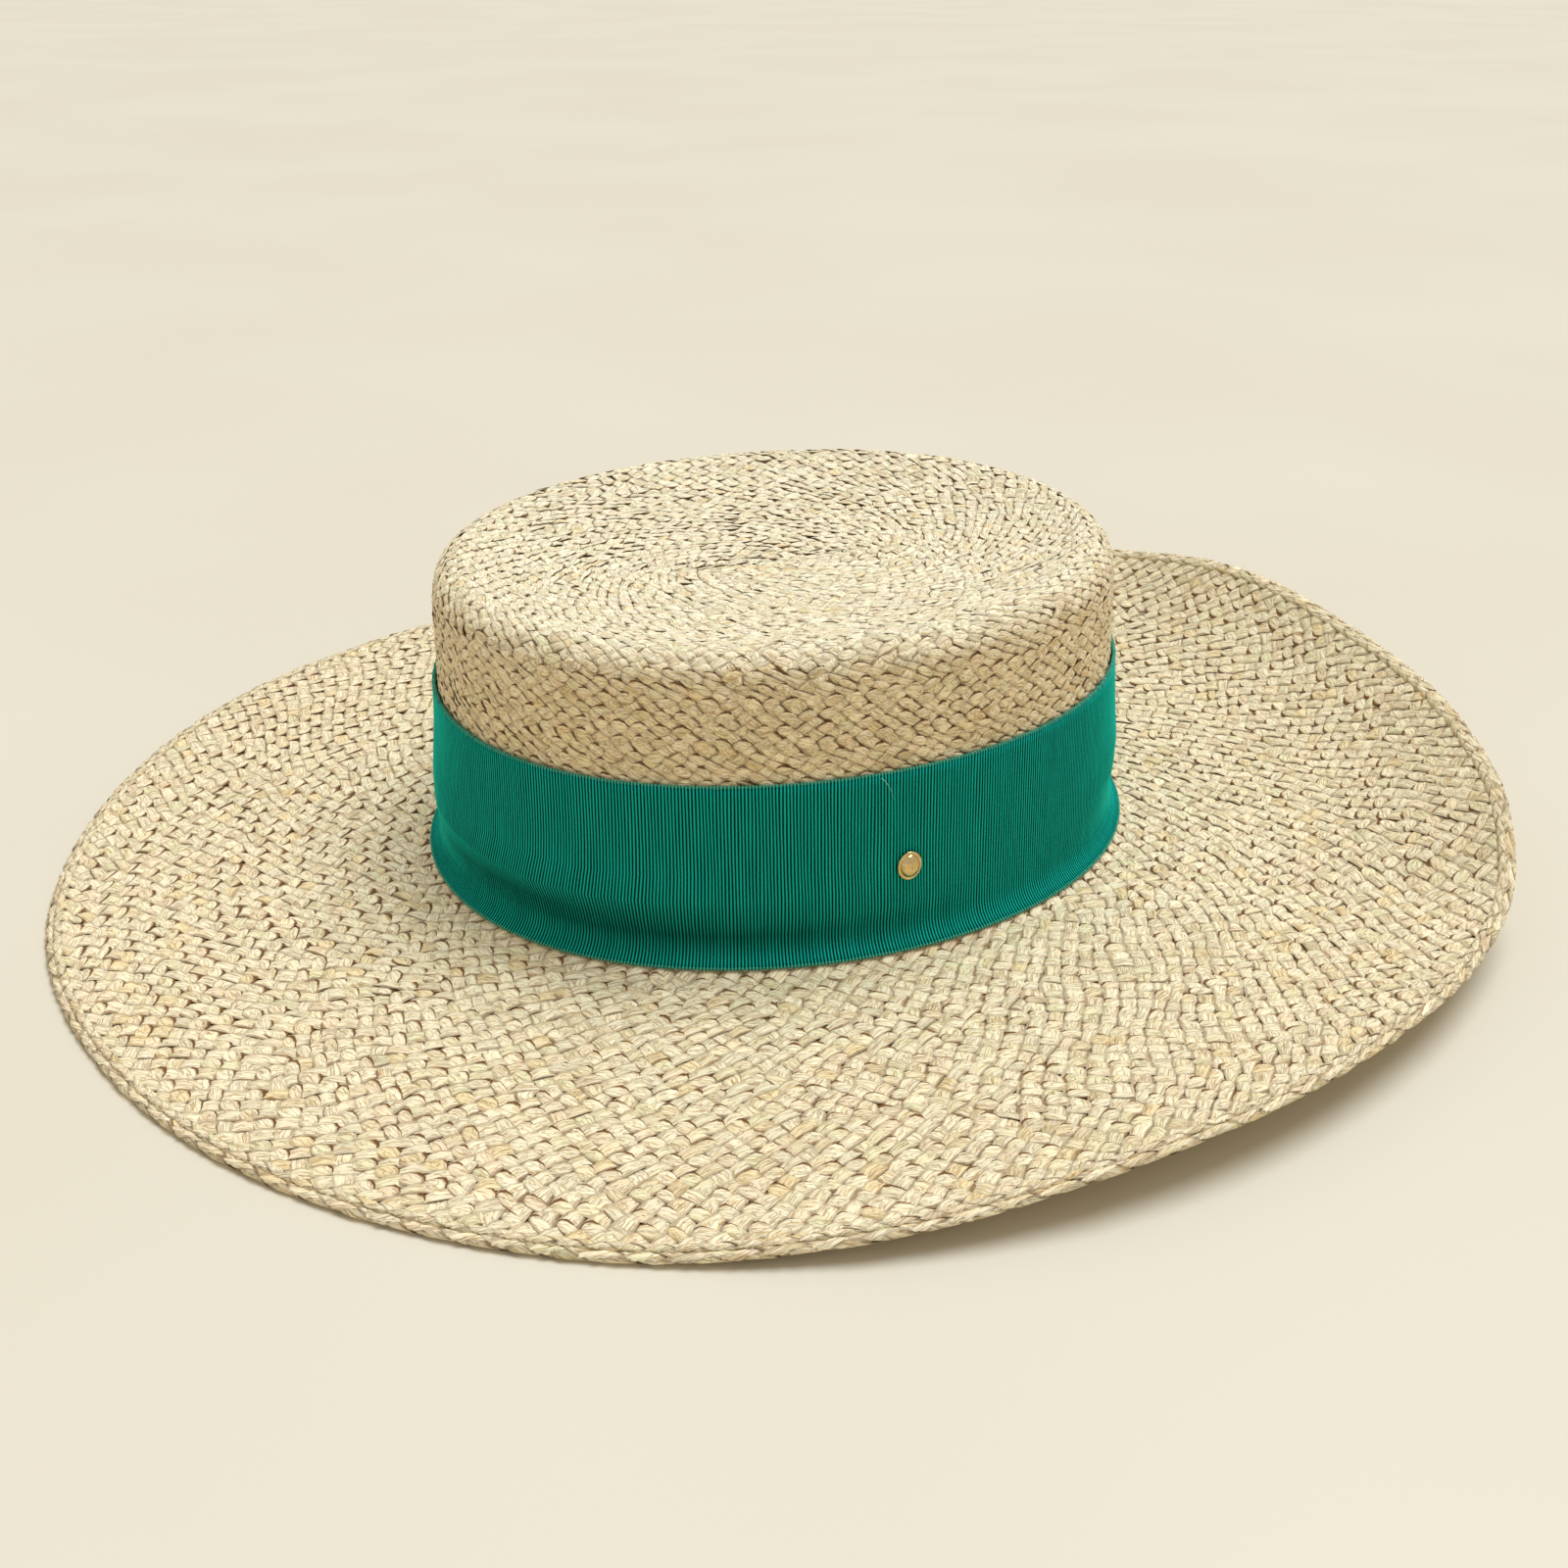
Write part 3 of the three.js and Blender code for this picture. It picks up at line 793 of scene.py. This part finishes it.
def make_band(material):
    """The ribbon as one closed ribbed sheet, and its length."""
    azimuth, rib, length = rib_azimuths()
    a, s = np.meshgrid(azimuth, RIBBON_SHARES, indexing="ij")
    r = np.broadcast_to(rib[:, None], a.shape)
    a = wavered(a, r, s)
    ridge = 0.5 + 0.5 * np.cos(2 * np.pi * r)
    inner = band_stand_off(a) + soft_fold(a, s)
    cloth = BAND_THICKNESS - RIB_RELIEF
    outer = inner + cloth + RIB_RELIEF * ridge + waver(r * 0.4, 3 * s, SOFT_DENT)
    back = band_point(a, s, inner + RIBBON_BACK)
    loops = np.hstack([band_point(a, s, outer), back[:, ::-1]])
    count = loops.shape[1]
    grid, sides = tube_faces(len(loops), count)
    caps = []
    for line, ahead in ((grid[0], True), (grid[-1], False)):
        for i in range(len(RIBBON_SHARES) - 1):
            quad = [line[i], line[i + 1], line[count - 2 - i], line[count - 1 - i]]
            caps.append(quad if ahead else quad[::-1])
    made = make_mesh("ribbon", loops, np.concatenate([sides, caps]), material)
    both = np.hstack([s, s[:, ::-1]])
    ribs = np.hstack([r, r])
    behind = np.hstack([np.zeros_like(s), np.ones_like(s)])
    # The weft's third value is painted shade, strongest where the cloth is tucked in under its largest wave
    painted_tuck_shade = np.hstack([fold_painted_shade(a, s), np.zeros_like(s)])
    put_vectors(made, "weft", np.stack([ribs, both, painted_tuck_shade], axis=-1))
    put_map(made, strip_map(ribs / rib[-1], 0.04 + 0.44 * both + 0.48 * behind, RIBBON_STRIPS))
    return made, length


def make_selvedge(name, share, material):
    """The woven edge of the ribbon: a thin bead with a loop for each rib."""
    azimuth, rib, _ = rib_azimuths()
    spot = np.full_like(azimuth, share)
    stand_off = band_stand_off(azimuth) + BAND_THICKNESS / 2
    shifted = wavered(azimuth, rib, spot)
    centre = band_point(shifted, spot, stand_off)
    outward = unit(band_point(shifted, spot, stand_off + 0.1) - centre)
    inner_share = 0.98 if share > 0.5 else 0.02
    upward = unit(centre - band_point(shifted, np.full_like(azimuth, inner_share), stand_off))
    loop = 0.5 + 0.5 * np.cos(2 * np.pi * rib)
    uneven = random.normal(0, EDGING_SPREAD, len(rib))
    turn = np.linspace(0, 2 * np.pi, 9)[:-1]
    thick = EDGING_THICKNESS[0] + EDGING_THICKNESS[1] * loop + uneven
    high = EDGING_HEIGHT[0] + EDGING_HEIGHT[1] * loop + uneven
    points = (
        centre[:, None]
        + outward[:, None] * (np.cos(turn)[None, :, None] * each(thick))
        + upward[:, None] * ((0.1 + np.sin(turn))[None, :, None] * each(high))
    )
    grid, sides = tube_faces(len(rib), len(turn))
    ends = [grid[0, [0, 1, 2, 3]], grid[0, [0, 3, 4, 7]], grid[0, [4, 5, 6, 7]]]
    ends += [grid[-1, [3, 2, 1, 0]], grid[-1, [7, 4, 3, 0]], grid[-1, [7, 6, 5, 4]]]
    made = make_mesh(name, points, np.concatenate([sides, ends]), material)
    r = np.broadcast_to(rib[:, None], grid.shape)
    t = np.broadcast_to(turn[None, :] / (2 * np.pi), grid.shape)
    put_vectors(made, "weft", np.stack([r, t, np.zeros_like(t)], axis=-1))
    put_map(made, strip_map(r / rib[-1], 0.1 + 0.8 * t, EDGING_STRIPS))
    return made


class Nodes:
    """A material's node tree, with short calls for the nodes that these materials use."""

    def __init__(self, name):
        self.material = bpy.data.materials.new(name)
        self.material.use_nodes = True
        self.tree = self.material.node_tree
        self.shader = self.tree.nodes["Principled BSDF"]

    def put(self, socket, value):
        if isinstance(value, bpy.types.NodeSocket):
            self.tree.links.new(value, socket)
        else:
            socket.default_value = value

    def node(self, kind, inputs=(), **settings):
        made = self.tree.nodes.new(kind)
        for key, value in settings.items():
            setattr(made, key, value)
        for key, value in dict(inputs).items():
            self.put(made.inputs[key], value)
        return made

    def math(self, operation, *values):
        return self.node("ShaderNodeMath", enumerate(values), operation=operation).outputs[0]

    def times(self, first, second):
        return self.math("MULTIPLY", first, second)

    def plus(self, first, second):
        return self.math("ADD", first, second)

    def minus(self, first, second):
        return self.math("SUBTRACT", first, second)

    def off_middle(self, share):
        return self.math("ABSOLUTE", self.minus(share, 0.5))

    def ramp(self, value, low, high, to_low=0.0, to_high=1.0):
        inputs = {"Value": value, "From Min": low, "From Max": high, "To Min": to_low, "To Max": to_high}
        return self.node("ShaderNodeMapRange", inputs, interpolation_type="SMOOTHSTEP").outputs[0]

    def mix(self, factor, first, second, blend="MIX"):
        made = self.node("ShaderNodeMix", data_type="RGBA", blend_type=blend)
        self.put(made.inputs[0], factor)
        self.put(made.inputs[6], first)
        self.put(made.inputs[7], second)
        return made.outputs[2]

    def split(self, vector):
        return self.node("ShaderNodeSeparateXYZ", {"Vector": vector}).outputs

    def join(self, x, y, z):
        return self.node("ShaderNodeCombineXYZ", {"X": x, "Y": y, "Z": z}).outputs[0]

    def attribute(self, name, output):
        return self.node("ShaderNodeAttribute", attribute_name=name).outputs[output]

    def noise(self, vector, scale, detail=2.0, roughness=0.5):
        inputs = {"Vector": vector, "Scale": scale, "Detail": detail, "Roughness": roughness}
        return self.node("ShaderNodeTexNoise", inputs).outputs["Fac"]

    def bump(self, height, distance, strength):
        inputs = {"Height": height, "Distance": distance, "Strength": strength}
        return self.node("ShaderNodeBump", inputs).outputs[0]

    def object_noise(self, scale, detail):
        place = self.node("ShaderNodeTexCoord").outputs["Object"]
        return self.noise(place, scale, detail)

    def fix(self, name, value):
        self.shader.inputs[name].default_value = value

    def finish(self, colour, roughness, normal=None):
        self.put(self.shader.inputs["Base Color"], colour)
        self.put(self.shader.inputs["Roughness"], roughness)
        if normal is not None:
            self.put(self.shader.inputs["Normal"], normal)
        return self.material


def straw_strand(name, colour, line, shade_line_width):
    """Straw strands: fibres and creases along each, and an uneven tone. Brown lines at the strands' sides
    and tucked ends are partly the straw's browner edges and partly painted shade of the gaps where strands
    turn under. The low side of a rounded pad has the full brown line, and other strands a fainter one. The
    creases are darkened with painted shade."""
    nodes = Nodes(name)
    u, v, seed = nodes.split(nodes.attribute("strand", "Vector"))
    tint = nodes.attribute("tint", "Color")
    apart = nodes.times(seed, 61.0)

    def strand_noise(along, across, detail, roughness=0.5):
        place = nodes.join(nodes.times(u, along), nodes.times(v, across), apart)
        return nodes.noise(place, 1.0, detail, roughness)

    def side_shade_line(from_side, share):
        return nodes.times(nodes.ramp(from_side, 0.4 * shade_line_width, shade_line_width, 1.0, 0.0), share)

    fibres = strand_noise(1.1, 11.0, 3.0, 0.65)
    creases = strand_noise(0.9, 3.6, 1.0)
    patches = strand_noise(1.6, 2.6, 2.0)
    crease_line = nodes.ramp(nodes.off_middle(creases), 0.0, 0.045, 1.0, 0.0)
    base = nodes.mix(1.0, colour, tint, blend="MULTIPLY")
    darker = nodes.mix(1.0, base, rgb(196, 164, 116), blend="MULTIPLY")
    base = nodes.mix(nodes.ramp(fibres, 0.46, 0.7, 0.0, 0.9), base, darker)
    lighter = nodes.mix(1.0, base, rgb(255, 252, 240), blend="SCREEN")
    base = nodes.mix(nodes.ramp(patches, 0.5, 0.8, 0.0, 0.2), base, lighter)

    drawn = nodes.node("ShaderNodeTexWhiteNoise", {"W": seed}, noise_dimensions="1D").outputs["Color"]
    _, for_high, for_ends = nodes.split(drawn)
    wobble = nodes.times(nodes.minus(patches, 0.5), 0.2)
    # Side lines: partly the straw's browner edges, partly painted shade of the gaps beside the strand
    low_shade_line = side_shade_line(nodes.plus(v, wobble), nodes.ramp(seed, 0.49, 0.51, 0.45, 1.0))
    high_shade_line = side_shade_line(nodes.minus(nodes.plus(1.0, wobble), v), nodes.ramp(for_high, 0.0, 1.0, 0.3, 0.85))
    # Painted shade where the strand's ends tuck under its neighbours
    end_shade_mask = nodes.ramp(nodes.off_middle(u), 0.52, 0.8, 0.0, 0.8)
    tucked_end_shade = nodes.times(end_shade_mask, nodes.ramp(for_ends, 0.0, 1.0, 0.3, 1.0))
    shade_lines = nodes.math("MAXIMUM", nodes.math("MAXIMUM", low_shade_line, high_shade_line), tucked_end_shade)
    # Painted shade in the creases along the strand
    shade_lines = nodes.math("MAXIMUM", shade_lines, nodes.times(crease_line, 0.42))
    grooved = nodes.plus(fibres, nodes.times(crease_line, -0.8))
    height = nodes.plus(grooved, nodes.times(patches, 0.5))
    nodes.fix("Specular IOR Level", 0.25)
    roughness = nodes.ramp(fibres, 0.2, 0.8, 0.42, 0.66)
    return nodes.finish(nodes.mix(shade_lines, base, line), roughness, nodes.bump(height, 0.0003, 0.6))


def straw_core():
    """Straw of darker browns that shows between the strands, as painted shade of the gaps."""
    nodes = Nodes("straw_core")
    mottle = nodes.object_noise(420.0, 3.0)
    shade = nodes.mix(mottle, rgb(158, 118, 68), rgb(204, 166, 108))
    return nodes.finish(shade, 0.8, nodes.bump(mottle, 0.0003, 0.6))


def ribbon_cloth(name, groove_shade, ridge, sheen):
    """Grosgrain: fine upright ribs with fine threads across them. The ribs are painted lighter on their
    crests and darker in their grooves, as painted highlight and painted shade, and painted shade darkens the
    cloth where the ribbon is tucked in.
    """
    nodes = Nodes(name)
    rib, share, painted_tuck_shade = nodes.split(nodes.attribute("weft", "Vector"))

    def cloth_noise(along, across, detail):
        return nodes.noise(nodes.join(nodes.times(rib, along), nodes.times(share, across), 0.0), 1.0, detail)

    wave = nodes.math("COSINE", nodes.times(rib, 2 * math.pi))
    slow = cloth_noise(0.9, 3.0, 2.0)
    threads = cloth_noise(2.0, 210.0, 2.0)
    level = nodes.plus(wave, nodes.ramp(slow, 0.2, 0.8, -0.16, 0.16))
    level = nodes.plus(level, nodes.ramp(threads, 0.25, 0.75, -0.25, 0.25))
    # Painted highlight and shade: the colour runs from the dark of the grooves to the light of the crests
    # with the ribs' wave
    colour = nodes.mix(nodes.ramp(level, -0.9, 1.15), groove_shade, ridge)
    # Painted shade: the cloth turns towards the dark groove colour where it is tucked in
    colour = nodes.mix(nodes.times(painted_tuck_shade, PAINTED_SHADE_STRENGTH), colour, groove_shade)
    height = nodes.plus(nodes.times(wave, 0.6), nodes.times(threads, 0.35))
    nodes.fix("Sheen Weight", sheen)
    nodes.fix("Sheen Roughness", 0.45)
    nodes.fix("Specular IOR Level", 0.04)
    return nodes.finish(colour, nodes.ramp(threads, 0.2, 0.8, 0.5, 0.62), nodes.bump(height, 0.00012, 0.6))


def pale_thread():
    nodes = Nodes("pale_thread")
    shade = nodes.mix(nodes.object_noise(900.0, 2.0), rgb(96, 178, 150), rgb(178, 220, 200))
    return nodes.finish(shade, 0.7)


def pale_gold():
    """Polished metal with faint cloudiness and fine wear."""
    nodes = Nodes("pale_gold")
    clouds = nodes.object_noise(700.0, 3.0)
    scratches = nodes.object_noise(5200.0, 2.0)
    nodes.fix("Metallic", 1.0)
    shade = nodes.mix(nodes.ramp(clouds, 0.3, 0.7), rgb(216, 188, 130), rgb(236, 212, 158))
    return nodes.finish(shade, nodes.ramp(clouds, 0.3, 0.7, 0.12, 0.24), nodes.bump(scratches, 0.00001, 0.2))


def pale_floor():
    nodes = Nodes("pale_floor")
    mottle = nodes.ramp(nodes.object_noise(3.0, 2.0), 0.3, 0.7)
    return nodes.finish(nodes.mix(mottle, rgb(219, 211, 191), rgb(222, 215, 196)), 0.5)


BRIM = brim_surface()
CROWN = crown_surface()
ROLL = edge_surface(1.4, 0.75, -1.2, 0.85)
CORD = edge_surface(1.85, 1.0, 0.2, -0.2)

brim_gaps = braid_gaps(BRIM, BRIM_ROWS, BRIM_PITCH)
crown_gaps = braid_gaps(CROWN, CROWN_ROWS, CROWN_PITCH)
roll_gaps = braid_gaps(ROLL, ROLL_ROWS, ROLL_PITCH)
cord_gaps = braid_gaps(CORD, CORD_ROWS, CORD_PITCH)

# Styles of plait. Sizes are shares of a cell, heights are in millimetres, pads is the share of even rows'
# strands that are rounded, and the last pair is the shares of the profile between which the straw is painted
# paler, as painted light on the top.
BRIM_TOP = dict(
    along=ALONG, across=ACROSS, width=1.1, width_spread=0.07, pinch=0.12, shingle=0.05, braid_step=0.14,
    pads=0.8, pad_height=0.82, pad_tilt=0.17, outward=True, folded=0.45, arch=0.32, bulge=0.32, tilt=0.07,
    rough=0.035, base=-CELL_DEPTH, side=1, painted_top_light=(1.0, 1.1),
)
CROWN_TOP = dict(
    BRIM_TOP, arch=0.28, bulge=0.34, tilt=0.12, folded=0.5, braid_step=0.06, shingle=-0.05,
    pad_height=0.9, pad_tilt=-0.08, outward=False, painted_top_light=(0.4, 0.5),
)
UNDER = dict(
    BRIM_TOP, along=ALONG_PLAIN, across=ACROSS_PLAIN, width=1.0, pinch=0.1, shingle=0.0, pads=0.0,
    base=CELL_DEPTH - STRAW, side=-1, rough=0.02,
)
ROLLED = dict(
    BRIM_TOP, along=ALONG_COARSE, across=ACROSS_COARSE, arch=0.16, bulge=0.24, pinch=0.2, shingle=0.0,
    pads=0.0, base=-0.25, tilt=0.06, rough=0.02, braid_step=0.0,
)
CORDED = dict(ROLLED, bulge=0.3, base=-0.2, tilt=0.1)

# The straw's colour, the brown of its lines, which are partly browner edges and partly painted shade between
# strands, and their width as a share of the strand's
strand_pale = straw_strand("straw_pale", rgb(250, 238, 202), rgb(118, 78, 38), 0.2)
strand_tan = straw_strand("straw_tan", rgb(252, 237, 198), rgb(112, 74, 34), 0.16)


def make_fibres(name, roots, ways, bends, lengths, thickness, material):
    """Loose fibres as fine tapered tubes: each starts at a root, sets off one way and bends another."""
    count = len(roots)
    t = np.linspace(0, 1, FIBRE_STEPS)[None, :, None]
    centre = roots[:, None] + each(lengths) * (t * ways[:, None] + t**2 * bends[:, None])
    aside = unit(np.cross(ways, [0.3, 0.2, 1.0]))
    above = unit(np.cross(aside, ways))
    turn = np.radians([0, 120, 240, 360])[None, None, :, None]
    ring = np.cos(turn) * aside[:, None, None] + np.sin(turn) * above[:, None, None]
    points = centre[:, :, None] + ring * (thickness * (1 - FIBRE_TAPER * t))[:, :, None]
    made = make_mesh(name, points, patch_faces(count, FIBRE_STEPS, 4, False), material)
    along = np.broadcast_to(t[..., None], points.shape[:3] + (1,))
    seed = np.broadcast_to(random.random(count)[:, None, None, None], along.shape)
    put_vectors(made, "strand", np.concatenate([along, np.full_like(along, 0.5), seed], axis=-1))
    put_colours(made, "tint", np.ones((points[..., 0].size, 3)))
    put_map(made, patch_map(count, FIBRE_STEPS, 4))
    return made


def surface_fibres(name, surface, azimuth, along, lift, rise, length, material):
    """Fibres that stand up a little from a surface, each in a direction of its own."""
    count = len(azimuth)
    roots = surface.at(azimuth, along, np.full(count, lift))
    outward = surface.at(azimuth, along, np.full(count, lift + 1)) - roots
    ahead = unit(surface.at(azimuth + 0.2, along, np.full(count, lift)) - roots)
    across = np.cross(outward, ahead)
    turn = random.uniform(0, 2 * np.pi, count)[:, None]
    upward = rise * random.uniform(0.3, 1, count)[:, None] * outward
    ways = unit(np.cos(turn) * ahead + np.sin(turn) * across + upward)
    bends = random.normal(0, 0.25, (count, 3)) - 0.25 * rise * outward
    lengths = length * random.uniform(0.4, 1, count)
    return make_fibres(name, roots, ways, bends, lengths, FIBRE_THICKNESS, material)


def fibre_pieces():
    """Short split fibres on the brim and crown, and frayed ends along the back of the edge."""
    brim_places = random.uniform(0, 360, BRIM_FIBRES), random.uniform(*BRIM_FIBRE_PLACES, BRIM_FIBRES)
    crown_places = random.uniform(0, 360, CROWN_FIBRES), random.uniform(*CROWN_FIBRE_PLACES, CROWN_FIBRES)
    edge_azimuths = random.normal(*EDGE_FIBRE_AZIMUTHS, EDGE_FIBRES) % 360
    edge_places = edge_azimuths, random.uniform(*EDGE_FIBRE_PLACES, EDGE_FIBRES)
    brim_fuzz = surface_fibres("brim_fibres", BRIM, *brim_places, 0.1, 0.25, 3.4, strand_pale)
    crown_fuzz = surface_fibres("crown_fibres", CROWN, *crown_places, 0.1, 0.25, 2.6, strand_tan)
    edge_fuzz = surface_fibres("edge_fibres", ROLL, *edge_places, 0.2, 0.9, 4.5, strand_pale)
    stand_for("brim", "brim_straw", brim_fuzz)
    stand_for("crown", "crown_straw", crown_fuzz)
    stand_for("brim_edge", "edge_straw", edge_fuzz)


def straw_pieces():
    core = straw_core()
    crown_shown = range(CROWN_ROWS_UNDER_RIBBON, CROWN_ROWS)
    crown_top = make_weave("crown_weave", CROWN, crown_gaps, crown_shown, CROWN_TOP, strand_tan)
    crown_lining = make_weave("crown_weave_inside", CROWN, crown_gaps, range(CROWN_ROWS), UNDER, strand_tan)
    crown_core = make_core("crown_core", CROWN, 0.999, CROWN_CORE_TURNS, core)
    brim_shown = range(BRIM_ROWS_UNDER_RIBBON, BRIM_ROWS)
    brim_top = make_weave("brim_weave", BRIM, brim_gaps, brim_shown, BRIM_TOP, strand_pale)
    brim_under = make_weave("brim_weave_under", BRIM, brim_gaps, range(BRIM_ROWS), UNDER, strand_pale)
    brim_core = make_core("brim_core", BRIM, 1.0, BRIM_CORE_TURNS, core)
    roll = make_weave("edge_roll", ROLL, roll_gaps, range(ROLL_ROWS), ROLLED, strand_pale)
    cord = make_weave("edge_cord", CORD, cord_gaps, range(CORD_ROWS), CORDED, strand_pale)
    stand_for("crown", "crown_straw", crown_top, crown_lining, crown_core)
    stand_for("brim", "brim_straw", brim_top, brim_under, brim_core)
    stand_for("brim_edge", "edge_straw", roll, cord)


def ribbon_pieces():
    # Each cloth's dark groove colour is painted shade, and its light ridge colour is painted highlight
    cloth = ribbon_cloth("ribbon_cloth", rgb(0, 26, 21), rgb(20, 198, 180), 0.0)
    edging = ribbon_cloth("ribbon_edging", rgb(10, 104, 86), rgb(84, 180, 156), 0.1)
    band, length = make_band(cloth)
    edges = [make_selvedge("ribbon_edge_top", 1.0, edging), make_selvedge("ribbon_edge_foot", 0.0, edging)]
    over = GAP + BAND_THICKNESS + THREAD_LIFT
    hang = band_point(np.array([THREAD_AZIMUTH]), np.array([THREAD_SHARE]), over)
    shape = THREAD_WAY, THREAD_BEND, np.array([THREAD_LENGTH]), THREAD_THICKNESS
    thread = make_fibres("ribbon_thread", hang, *shape, pale_thread())
    edges.append(thread)
    for piece in (band, *edges):
        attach(piece, "root")
    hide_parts("band")


def stud_piece():
    """An oval stud: a rounded rim, a fine groove and a domed middle, its flat back on the ribbon."""
    turn = np.radians(np.arange(STUD_TURNS) * 360 / STUD_TURNS)[:, None]
    wide = STUD_HALF_WIDTH * STUD_PROFILE[None, :, 0] * np.cos(turn)
    high = STUD_HALF_HEIGHT * STUD_PROFILE[None, :, 0] * np.sin(turn)
    rise = np.broadcast_to(STUD_PROFILE[None, :, 1], wide.shape)
    seat = wall_grow(STUD_HEIGHT) + 2 * GAP + BAND_THICKNESS + band_lift(STUD_AZIMUTH, STUD_HEIGHT)
    middle = crown_point(STUD_AZIMUTH, seat, STUD_HEIGHT)
    cos = math.cos(math.radians(STUD_AZIMUTH))
    sin = math.sin(math.radians(STUD_AZIMUTH))
    sideways = wide[..., None] * np.array([-sin, cos, 0.0])
    upward = high[..., None] * np.array([0.0, 0.0, 1.0])
    points = middle + sideways + upward + rise[..., None] * np.array([cos, sin, 0.0])
    stand_for("stud", "stud_metal", make_ring("stud_polished", leaned(points), pale_gold()))


def add_camera():
    data = bpy.data.cameras.new("camera")
    data.lens = CAMERA_LENS
    data.sensor_width = SENSOR
    data.sensor_fit = "HORIZONTAL"
    data.clip_start = 0.01
    made = link_object("camera", data)
    made.location = [x * MM for x in CAMERA_AT]
    made.rotation_euler = (math.radians(90 - CAMERA_PITCH), 0, -math.radians(CAMERA_AZIMUTH))
    bpy.context.scene.camera = made


def add_sun():
    """A soft distant lamp that shines from SUN_FROM towards the hat."""
    data = bpy.data.lights.new("sun", "SUN")
    data.energy = SUN_POWER
    data.angle = math.radians(SUN_SPREAD)
    data.color = SUN_COLOUR
    made = link_object("sun", data)
    x, y, z = SUN_FROM
    made.rotation_euler = (math.atan2(math.hypot(x, y), z), 0, math.atan2(x, -y))


def add_stage():
    corners = np.array([(-1, -1, 0), (1, -1, 0), (1, 1, 0), (-1, 1, 0)]) * FLOOR_REACH - HAT_SHIFT
    floor = make_mesh("floor", corners, [(0, 1, 2, 3)], pale_floor(), smooth=False)
    world = bpy.data.worlds.new("studio")
    world.use_nodes = True
    background = world.node_tree.nodes["Background"].inputs
    background["Color"].default_value = WORLD_COLOUR
    background["Strength"].default_value = WORLD_STRENGTH
    bpy.context.scene.world = world


straw_pieces()
fibre_pieces()
ribbon_pieces()
stud_piece()
add_camera()
add_sun()
add_stage()
bpy.context.scene.view_settings.view_transform = "Standard"
